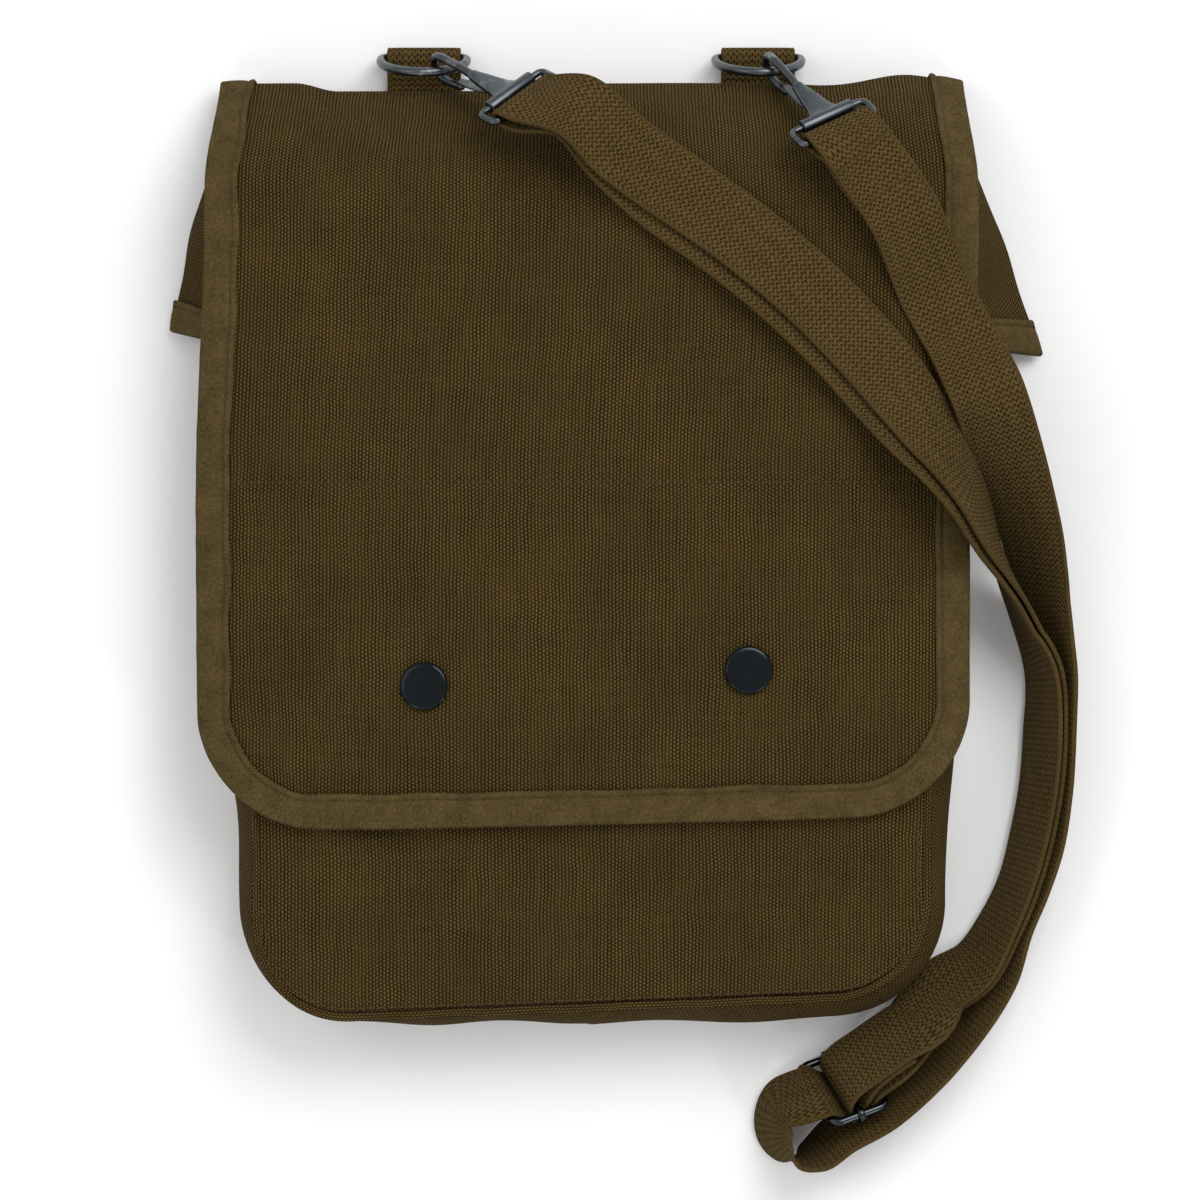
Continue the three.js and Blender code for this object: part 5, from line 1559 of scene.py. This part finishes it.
@dataclass
class SnapHook:
    """A snap hook: a cast neck and barrel, a bent wire, the strap's wire loop and a tongue."""

    shape: CaseShape
    wardrobe: Wardrobe
    ring: TabAndRing
    heading: float
    dip: float
    roll: float
    ring_offset: float
    reach: float = 34.5
    bend: float = 5.0
    wire: float = 1.4
    play: float = 2.8
    barrel_radius: float = 2.5
    barrel_length: float = 19.5
    loop_wire: float = 1.2
    loop_depth: float = 7.6
    loop_inside: float = 26.0
    loop_corner: float = 2.0
    tongue: float = 0.8

    def frame(self) -> HookFrame:
        """Return the hook's axes: its bend lies round the ring's bow."""
        heading, dip = math.radians(self.heading), math.radians(self.dip)
        level = math.cos(dip)
        reach = np.array([math.cos(heading) * level, math.sin(heading) * level, -math.sin(dip)])
        wide = turned(np.array([math.sin(heading), -math.cos(heading), 0.0]), reach, self.roll)
        face = np.cross(wide, reach)
        seat = self.reach + self.bend - self.wire - self.ring.wire - self.play
        held = self.ring.bow_point(self.ring_offset)
        return HookFrame(held - reach * seat + face * (self.bend - 1.5), reach, wide, face)

    def cast(self) -> Shell:
        """Return the neck and the hook.

        An oval section is carried along the hook's line. Its half width and half height are
        read off against the distance along: wide where it meets the barrel, a waist, a collar
        and then the round wire, rounded off at the tip.
        """
        path = np.concatenate(
            [
                [[0.0, 0.0], [8.0, 0.0], [16.0, 0.0], [20.0, 0.3], [26.0, 1.1]],
                arc(self.reach, 1.5 - self.bend, self.bend, self.bend, 90.0, -90.0, 12),
                [[self.reach - 4.0, 1.7 - 2.0 * self.bend], [self.reach - 8.5, 2.4 - 2.0 * self.bend]],
            ]
        )
        centre = vectors(path[:, 0], 0.0, path[:, 1])
        coarse = Line(centre, np.tile([0.0, 1.0, 0.0], (len(centre), 1)))
        line = coarse.refined(0.35, 0.1).squared()
        run = lengths_along(line.centre)
        half_width = np.interp(
            run,
            [0.0, 1.2, 2.2, 3.6, 5.5, 8.0, 13.0, 18.2, 18.6, 19.1, 19.6, run[-1]],
            [8.6, 8.2, 6.2, 4.9, 4.2, 3.8, 3.0, 2.1, 2.1, 1.9, 1.45, self.wire],
        )
        half_height = np.interp(
            run,
            [0.0, 3.0, 8.0, 18.2, 18.6, 19.1, 19.6, run[-1]],
            [1.9, 1.5, 1.4, 1.7, 1.8, 1.75, 1.45, self.wire],
        )
        left = np.maximum(run[-1] - run, 0.0)
        tip = np.sqrt(np.clip(1.0 - (1.0 - np.minimum(left / self.wire, 1.0)) ** 2, 0.02, 1.0))
        circle = round_section(1.0, 24)
        power = lerp(0.62, 1.0, smooth(12.0, 20.0, run))[:, None, None]
        oval = np.sign(circle) * np.abs(circle) ** power
        size = np.stack([half_width * tip, half_height * tip], axis=-1)[:, None]
        return sweep(line, oval * size)

    def barrel(self) -> Shell:
        """Return the barrel: a tube along the width with rounded rims."""
        half, outer = self.barrel_length / 2.0, self.barrel_radius
        inner = self.loop_wire + self.shape.gap
        profile = np.array(
            [
                [inner, -half],
                [outer - 0.4, -half],
                [outer - 0.1, -half + 0.15],
                [outer, -half + 0.5],
                [outer, half - 0.5],
                [outer - 0.1, half - 0.15],
                [outer - 0.4, half],
                [inner, half],
            ]
        )
        return turned_body(profile, 40).placed(np.zeros(3), np.array([[0.0, 0, 1], [1, 0, 0], [0, 1, 0]]))

    def loop(self) -> Shell:
        """Return the wire loop between the barrel and the strap."""
        radius = self.loop_corner
        side = self.loop_inside / 2.0 + self.loop_wire - radius
        far = radius - self.loop_depth
        run = np.linspace(-side, side, 12)[1:-1]
        points = np.concatenate(
            [
                arc(-radius, side, radius, radius, 0.0, 90.0, 7),
                arc(far, side, radius, radius, 90.0, 180.0, 7),
                np.stack([np.full(10, -self.loop_depth), -run], axis=-1),
                arc(far, -side, radius, radius, 180.0, 270.0, 7),
                arc(-radius, -side, radius, radius, 270.0, 360.0, 7),
                np.stack([np.zeros(10), run], axis=-1),
            ]
        )
        return plane_wire(points, self.loop_wire)

    def leaf(self) -> Shell:
        """Return the spring tongue: a thin leaf that bows a little from its rivet to its tip."""
        start = np.array([9.5, -self.wire - self.shape.gap - self.tongue / 2.0])
        rest = 2.2 - 2.0 * self.bend + self.wire + self.shape.gap + self.tongue / 2.0
        end = np.array([self.reach - 7.0, rest])
        share = np.linspace(0.0, 1.0, 40)
        points = lerp(start, end, share[:, None])
        points[:, 1] -= 0.5 * np.sin(math.pi * share)
        centre = vectors(points[:, 0], 0.0, points[:, 1])
        line = Line(centre, np.tile([0.0, 1.0, 0.0], (len(centre), 1))).squared()
        half_width = np.interp(share, [0.0, 0.03, 0.25, 0.97, 1.0], [1.9, 2.4, 2.6, 1.35, 1.0])
        circle = round_section(1.0, 16)
        flat = np.sign(circle) * np.abs(circle) ** 0.3
        size = np.stack([half_width, np.full_like(share, self.tongue / 2.0)], axis=-1)[:, None]
        return sweep(line, flat * size)

    def build(self) -> None:
        """Build the hook's three pieces; the tongue rides on its own body."""
        name = self.ring.side.value
        frame_here = self.frame()
        place = (frame_here.origin, frame_here.axes)
        body = Shell.together([self.cast(), self.barrel()]).placed(*place)
        piece = body.to_object(f"hook_casting_{name}", 50.0)
        self.wardrobe.dress(piece, self.wardrobe.gunmetal, Slot.METAL, replaces=[f"hook_body_{name}"])
        piece = self.loop().placed(*place).to_object(f"hook_wire_{name}")
        self.wardrobe.dress(piece, self.wardrobe.gunmetal, Slot.METAL, replaces=[f"hook_loop_{name}"])
        piece = self.leaf().placed(*place).to_object(f"hook_spring_{name}", 50.0)
        self.wardrobe.dress(
            piece,
            self.wardrobe.gunmetal,
            Slot.METAL,
            body=f"tongue_{name}",
            replaces=[f"hook_tongue_{name}"],
        )


@dataclass
class Adjuster:
    """The slide adjuster: a wire rim and a middle bar with an eye round each side rail.

    Its x and y are shares of the flap's half width and of the case's half height.
    """

    shape: CaseShape
    wardrobe: Wardrobe
    reach: float = 9.8
    half: float = 14.3
    wire: float = 1.4
    corner: float = 3.0
    x: float = 0.6659
    y: float = -1.1984
    z: float = 13.0
    heading: float = -58.0
    rise: float = 45.0
    lead: float = 19.0

    def frame(self) -> HookFrame:
        """Return the adjuster's axes."""
        wide = direction(self.heading, self.rise)
        lead = direction(self.lead, 0.0)
        reach = unit(lead - np.array([0.0, 0.0, 1.0]) * np.dot(lead, wide) / wide[2])
        shape = self.shape
        x = self.x * shape.flap_half_width
        y = self.y * shape.half_height + shape.middle_y
        return HookFrame(np.array([x, y, self.z]), reach, wide, np.cross(wide, reach))

    def rim(self) -> Shell:
        """Return the rim: a rounded rectangle of wire."""
        turn = self.corner
        x, y = self.reach - turn, self.half - turn
        run = np.linspace(-y, y, 14)[1:-1]
        cross = np.linspace(-x, x, 8)[1:-1]
        points = np.concatenate(
            [
                arc(x, y, turn, turn, 0.0, 90.0, 9),
                np.stack([-cross, np.full(6, self.half)], axis=-1),
                arc(-x, y, turn, turn, 90.0, 180.0, 9),
                np.stack([np.full(12, -self.reach), -run], axis=-1),
                arc(-x, -y, turn, turn, 180.0, 270.0, 9),
                np.stack([cross, np.full(6, -self.half)], axis=-1),
                arc(x, -y, turn, turn, 270.0, 360.0, 9),
                np.stack([np.full(12, self.reach), run], axis=-1),
            ]
        )
        return plane_wire(points, self.wire)

    def bar(self) -> Shell:
        """Return the middle bar and its two eyes, each a short tube round a side rail."""
        inner = self.wire + self.shape.gap
        outer = inner + 0.9
        profile = np.array(
            [
                [inner, -1.1],
                [outer - 0.25, -1.1],
                [outer, -0.8],
                [outer + 0.05, 0.0],
                [outer, 0.8],
                [outer - 0.25, 1.1],
                [inner, 1.1],
                [inner, 0.0],
            ]
        )
        axes = np.array([[0.0, 1, 0], [0, 0, 1], [1, 0, 0]])
        ends = [np.array([0.0, sign * self.half, 0.0]) for sign in (-1.0, 1.0)]
        eyes = [turned_body(profile, 36).placed(end, axes) for end in ends]
        run = np.linspace(-self.half + outer - 0.5, self.half - outer + 0.5, 12)
        line = Line(vectors(0.0, run, 0.0), np.tile([1.0, 0.0, 0.0], (12, 1)))
        return Shell.together([sweep(line, round_section(self.wire)), *eyes])

    def build(self) -> None:
        """Build the rim and the bar."""
        frame_here = self.frame()
        place = (frame_here.origin, frame_here.axes)
        piece = self.rim().placed(*place).to_object("slide_rim")
        # the rim and the bar take the darker copy of the gunmetal, which paints shade on the adjuster
        self.wardrobe.dress(piece, self.wardrobe.shaded_slide_metal, Slot.METAL, replaces=["adjuster_frame"])
        piece = self.bar().placed(*place).to_object("slide_bar", 55.0)
        self.wardrobe.dress(piece, self.wardrobe.shaded_slide_metal, Slot.METAL, replaces=["adjuster_bar"])


# The strap


def webbing_section(shape: CaseShape) -> tuple[Array, Array]:
    """Return webbing's section: flat faces and a rounded, slightly raised selvage."""
    half, thick = 0.5 * shape.webbing_width, 0.5 * shape.webbing
    width = np.array([half, half - 0.12, half - 0.45, half - 0.9, half - 1.3, half - 1.8, 7.2, 3.6])
    height = np.array([0.0, 0.55, 0.95, 1.0, 0.86, 0.96, 1.0, 1.0]) * thick
    right = np.stack([width, height], axis=-1)
    middle = np.array([[0.0, thick]])
    upper = np.concatenate([right, middle, right[::-1] * np.array([-1.0, 1.0])])
    lower = upper[-2:0:-1] * np.array([1.0, -1.0])
    section = np.concatenate([upper, lower])
    return section, section[:, 0]


@dataclass
class Strap:
    """The webbing strap: its route over the flap and the floor and through the hardware.

    The route's rows hold x and y as shares of the flap's half width and the case's half height,
    then the heading and the rise of the strap's width in degrees, and where it hangs free its
    height as a share of the case's depth.
    """

    shape: CaseShape
    wardrobe: Wardrobe
    left: SnapHook
    right: SnapHook
    adjuster: Adjuster
    floor: float = 0.3
    pair_pitch: float = 2.7
    slip_on_flap: float = 5.0
    slip_beside: float = 1.0
    sewn_length: float = 34.0
    step: float = 13.0
    twist: float = math.radians(13.0)
    right_rows: Sequence[tuple] = (
        (0.72, 0.8, 25, -12, 1.56),
        (0.81, 0.69, 26, -9, 1.49),
        (0.89, 0.538, 25, -8),
        (0.965, 0.425, 21, -10),
        (1.02, 0.325, 18, 2, 1.36),
        (1.068, 0.22, 16, 16, 1.18),
        (1.115, 0.11, 14, 30, 0.9),
        (1.155, 0.012, 11, 41, 0.64),
        (1.194, -0.12, 6, 52, 0.38),
        (1.222, -0.22, 3, 62),
        (1.236, -0.3, 0, 66),
        (1.234, -0.41, -3, 67),
        (1.221, -0.545, -10, 64),
        (1.195, -0.665, -18, 61),
        (1.157, -0.765, -30, 62),
        (1.115, -0.85, -37, 62),
        (1.078, -0.949, -38, 61),
        (0.997, -1.057, -40, 60),
        (0.885, -1.168, -50, 60),
        (0.772, -1.25, -57, 60),
        (0.665, -1.3, -55, 60),
        (0.592, -1.35, -46, 67),
        (0.55, -1.362, -25, 74),
        (0.516, -1.35, 0, 69),
        (0.488, -1.316, 0, 63),
        (0.479, -1.274, -10, 64, 0.345),
        (0.491, -1.242, -30, 63, 0.365),
        (0.516, -1.226, -50, 59, 0.415),
        (0.549, -1.219, -58, 51, 0.465),
    )
    left_rows: Sequence[tuple] = (
        (-0.04, 0.918, -122, 20, 1.68),
        (0.065, 0.842, -122, 10, 1.56),
        (0.205, 0.76, -127, 9),
        (0.357, 0.67, -132, 13),
        (0.51, 0.569, -136, 14),
        (0.654, 0.455, -137, 16),
        (0.79, 0.325, -141, 22),
        (0.882, 0.21, -143, 43),
        (0.965, 0.11, -146, 60, 1.4),
        (1.035, 0.01, -150, 74, 1.02),
        (1.103, -0.1, 30, 89, 0.62),
        (1.152, -0.19, 20, 81),
        (1.197, -0.298, 8, 70),
        (1.199, -0.42, 0, 65),
        (1.188, -0.54, -9, 65),
        (1.162, -0.655, -17, 65),
        (1.13, -0.752, -30, 66),
        (1.083, -0.84, -37, 63),
        (1.012, -0.935, -43, 53),
        (0.915, -0.99, -48, 43),
    )

    def slip_at(self, y: Array) -> Array:
        """Return how far the lower layer shows past the upper one."""
        half = self.shape.half_height
        on_flap = lerp(self.slip_beside, self.slip_on_flap, smooth(0.0, 0.35 * half, y))
        return on_flap * (1.0 - smooth(0.75 * half, 0.95 * half, y))

    def resting_height(self, line: Line, layers: int) -> Array:
        """Return the lowest that the middle of so many layers can be over flap and floor."""
        shape = self.shape
        centre, across = line.centre, line.across
        half = shape.webbing / 2.0 + (layers - 1) * self.pair_pitch / 2.0
        level = np.hypot(across[:, 0], across[:, 1])
        reach = 0.5 + (layers - 1) * (self.slip_at(centre[:, 1]) / shape.webbing_width)
        share = lerp(-0.5, reach[:, None], np.linspace(0.0, 1.0, 11)[None, :])
        point = centre[:, None] + across[:, None] * (share * shape.webbing_width)[..., None]
        cover = shape.flap_cover(point[..., 0], point[..., 1])
        heights = cover - (point[..., 2] - centre[:, None, 2])
        return heights.max(axis=1) + (half + self.floor) * level + self.floor

    def routed(self, rows: Sequence[tuple], layers: int) -> Line:
        """Return where the rows of a route put the middle of so many layers."""
        shape = self.shape
        table = np.array([[*row, math.nan][:5] for row in rows])
        x = table[:, 0] * shape.flap_half_width
        y = table[:, 1] * shape.half_height + shape.middle_y
        heading, rise = np.radians(table[:, 2]), np.radians(table[:, 3])
        across = vectors(np.cos(rise) * np.cos(heading), np.cos(rise) * np.sin(heading), np.sin(rise))
        line = Line(vectors(x, y, 0.0), across)
        free = ~np.isnan(table[:, 4])
        line.centre[:, 2] = np.where(free, table[:, 4] * shape.side_depth, self.resting_height(line, layers))
        return line

    def lifted(self, line: Line, layers: int) -> Line:
        """Return a line raised where it would sink into the flap or the floor."""
        low = self.resting_height(Line(line.centre, unit(line.across)), layers)
        centre = line.centre.copy()
        centre[:, 2] = np.maximum(centre[:, 2], low)
        return Line(centre, line.across)

    def bar_turn(self, start: float, end: float) -> Array:
        """Return the half turn of webbing round a loop's bar, on the side of the hook."""
        turn = self.bar_reach
        points = arc(-self.left.loop_depth, 0.0, turn, turn, start, end, 6)
        points[:, 0] = -2.0 * self.left.loop_depth - points[:, 0]
        return points

    @property
    def bar_reach(self) -> float:
        """From a loop's bar to the middle of the webbing round it."""
        return self.left.loop_wire + 2.0 * self.shape.gap + self.shape.webbing / 2.0

    def route(self) -> Line:
        """Return the strap's stations, from its sewn end at the right hook to the adjuster."""
        shape = self.shape
        frames = {"left": self.left.frame(), "right": self.right.frame()}
        slide = self.adjuster.frame()

        def local(axes: HookFrame, rows: Any, across: Array | None = None) -> Line:
            """Return a line from rows of reach and face in a fitting's own axes."""
            rows = np.array(rows, dtype=float)
            centre = axes.point(rows[:, 0], 0.0, rows[:, 1])
            return Line(centre, np.tile(axes.wide if across is None else across, (len(rows), 1)))

        depth, turn = self.left.loop_depth, self.bar_reach
        lead = local(frames["right"], [[-depth - 1.0, turn], [-depth - 8.0, turn - 0.6]])
        down = lead.joined(self.routed(self.right_rows, 1)).refined(self.step, self.twist)
        down = self.lifted(down.squared(), 1)
        sewn = down.squared().part(1, round(self.sewn_length / self.step) + 1)
        tail = sewn.layer(-shape.layer - shape.gap).backwards()
        tail = tail.joined(local(frames["right"], [[-depth - 4.5, -1.6]]))

        over = self.adjuster.wire + shape.gap + shape.webbing / 2.0
        under = over + shape.layer
        rail = self.adjuster.reach
        threaded = local(
            slide,
            [
                [-rail - 1.6, over + 0.45],
                [-rail, over + 0.3],
                [-rail + 2.4, 1.3],
                [-rail + 3.8, -1.0],
                [-4.4, -3.1],
                [-2.2, -under + 0.2],
                [0.0, -under],
                [2.2, -under + 0.2],
                [4.4, -3.1],
                [rail - 3.8, -1.0],
                [rail - 2.4, 1.3],
                [rail, over + 0.3],
                [rail + 2.4, over + 1.4],
                [rail + 9.0, over + 4.6],
            ],
        )

        middle = self.routed(self.left_rows, 2).refined(self.step, self.twist)
        pair = self.lifted(middle.squared(), 2).squared()
        upper = pair.layer(-self.pair_pitch / 2.0).backwards()
        lower = pair.layer(self.pair_pitch / 2.0, self.slip_at(pair.centre[:, 1]))
        rows = np.concatenate([[[-depth - 4.0, turn]], self.bar_turn(90.0, 270.0), [[-depth - 4.0, -turn]]])
        turn_at_left = local(frames["left"], rows, -frames["left"].wide)

        fold = local(
            slide,
            np.concatenate(
                [
                    [
                        [rail + 20.0, 17.2],
                        [rail + 12.5, 15.7],
                        [rail + 6.0, 13.2],
                        [rail - 1.3, 10.2],
                        [1.5, 7.2],
                        [-1.9, 3.4],
                    ],
                    arc(0.0, 0.0, over, over, 190.0, 320.0, 5),
                    [[3.4, 0.6], [5.6, 4.0], [rail - 0.8, 7.5], [rail + 6.0, 11.0], [rail + 12.5, 13.5]],
                ]
            ),
        )
        at_right = local(frames["right"], self.bar_turn(270.0, 90.0))
        return tail.joined(at_right, down, threaded, upper, turn_at_left, lower, fold).squared()

    def build(self) -> None:
        shape = self.shape
        line = self.route().refined(1.8, math.radians(4.0)).squared()
        section, across = webbing_section(shape)
        piece = sweep(line, section, across).to_object("strap_webbing")
        self.wardrobe.dress(piece, self.wardrobe.webbing, Slot.WEBBING, replaces=["strap"])
        run = lengths_along(line.centre)
        log.info("strap length %.0f mm", run[-1])
        piece = self.seams(line, run).to_object("strap_stitches")
        self.wardrobe.dress(piece, self.wardrobe.thread, Slot.WEBBING)

    def seams(self, line: Line, run: Array) -> Shell:
        """Return the rows of stitches across the sewn end at the right hook."""
        start = self.sewn_length + 17.0
        rows = []
        normal = line.normal()
        for distance in (start, start + 15.0):
            aside = np.arange(-10.5, 10.6, 2.6)
            at = np.full_like(aside, distance)
            centre = np.stack([np.interp(at, run, line.centre[:, k]) for k in range(3)], axis=-1)
            width = np.stack([np.interp(at, run, line.across[:, k]) for k in range(3)], axis=-1)
            out = np.stack([np.interp(at, run, normal[:, k]) for k in range(3)], axis=-1)
            out = upward(unit(out))
            place = centre + width * aside[:, None] + out * (shape_top(self.shape) - 0.02)
            rows.append(stitches(place, width, out, (2.2, 0.65, 0.5)))
        return Shell.together(rows)


def shape_top(shape: CaseShape) -> float:
    """Return the height of webbing's face over its middle."""
    return shape.webbing / 2.0


# Studio


@dataclass
class Studio:
    """The pale floor, the soft lights and the camera over the case."""

    camera_x: float = 2.8
    camera_y: float = -16.17
    camera_z: float = 1755.0
    frame_width: float = 396.0
    frame_distance: float = 1700.0
    sensor: float = 36.0

    def camera(self) -> None:
        """Set the camera straight over the case, as the photograph has it."""
        data = bpy.data.cameras.new("over_the_case")
        data.sensor_width = self.sensor
        data.lens = self.sensor * self.frame_distance / self.frame_width
        data.clip_start, data.clip_end = 0.05, 20.0
        camera = bpy.data.objects.new("over_the_case", data)
        camera.location = (self.camera_x * MM, self.camera_y * MM, self.camera_z * MM)
        bpy.context.scene.collection.objects.link(camera)
        bpy.context.scene.camera = camera

    def light(self, name: str, azimuth: float, elevation: float, size: float, power: float) -> None:
        """Add a soft square light that faces the case.

        Args:
            name: the light's name.
            azimuth: its heading from the case in degrees, 0 along X and 90 along Y.
            elevation: its height in degrees above the floor.
            size: its side in metres.
            power: its power in watts.
        """
        data = bpy.data.lights.new(name, "AREA")
        data.shape, data.size, data.energy = "SQUARE", size, power
        lamp = bpy.data.objects.new(name, data)
        away = direction(azimuth, elevation) * 1.9
        lamp.location = tuple(away)
        lamp.rotation_mode = "QUATERNION"
        aim = Vector(tuple(-away))
        lamp.rotation_quaternion = aim.to_track_quat("-Z", "Y")
        bpy.context.scene.collection.objects.link(lamp)

    def floor(self) -> None:
        """Lay the floor just under the case."""
        half = 4000.0
        rings = np.array(
            [
                [[-half, -half, -0.4], [half, -half, -0.4], [half, -half, -6.0], [-half, -half, -6.0]],
                [[-half, half, -0.4], [half, half, -0.4], [half, half, -6.0], [-half, half, -6.0]],
            ]
        )
        floor = Shell.from_rings(rings).to_object("floor")
        floor.data.materials.append(FloorFinish().make())

    def sky(self) -> None:
        """Fill the room with even light."""
        world = bpy.data.worlds.new("room")
        world.use_nodes = True
        world.node_tree.nodes["Background"].inputs["Color"].default_value = (1.0, 1.0, 1.0, 1.0)
        world.node_tree.nodes["Background"].inputs["Strength"].default_value = 0.6
        bpy.context.scene.world = world
        bpy.context.scene.view_settings.view_transform = "Standard"

    def build(self) -> None:
        """Set up the camera, the floor and the lights."""
        self.camera()
        self.floor()
        self.sky()
        self.light("key_light", 55.0, 52.0, 1.1, 20.0)
        self.light("fill_light", 165.0, 48.0, 1.3, 5.0)
        self.light("low_light", 265.0, 42.0, 1.3, 2.0)
        self.light("left_spark", 232.0, 34.0, 0.25, 3.0)
        self.light("right_spark", 312.0, 34.0, 0.25, 3.0)


def main() -> None:
    """Build the scene piece by piece."""
    logging.basicConfig(level=logging.INFO, format="%(name)s: %(message)s")
    Studio().build()
    shape = CaseShape()
    wardrobe = Wardrobe()
    tape = Tape(shape)
    Pouch(shape, wardrobe).build()
    stud_places = (
        (-0.432 * shape.flap_half_width, shape.flap_bottom_y + 47.5),
        (0.4053 * shape.flap_half_width, shape.flap_bottom_y + 50.6),
    )
    Flap(shape, wardrobe, tape, stud_places).build()
    Ear(shape, wardrobe, tape, Side.LEFT, splay=21.5, drop=-6.0, swell=3.0).build()
    Ear(shape, wardrobe, tape, Side.RIGHT, splay=31.5, drop=2.0, swell=1.0).build()
    for side, place in zip(Side, stud_places):
        PressStud(shape, wardrobe, side, *place).build()
    tabs = [
        TabAndRing(shape, wardrobe, Side.LEFT, x=-0.446 * shape.flap_half_width),
        TabAndRing(shape, wardrobe, Side.RIGHT, x=0.442 * shape.flap_half_width),
    ]
    for tab in tabs:
        tab.tab()
        tab.ring()
    hooks = [
        SnapHook(shape, wardrobe, tabs[0], heading=151.0, dip=39.5, roll=33.0, ring_offset=8.0),
        SnapHook(shape, wardrobe, tabs[1], heading=130.0, dip=39.5, roll=22.0, ring_offset=5.2),
    ]
    for hook in hooks:
        hook.build()
    adjuster = Adjuster(shape, wardrobe)
    adjuster.build()
    Strap(shape, wardrobe, hooks[0], hooks[1], adjuster).build()


if __name__ == "__main__":
    main()
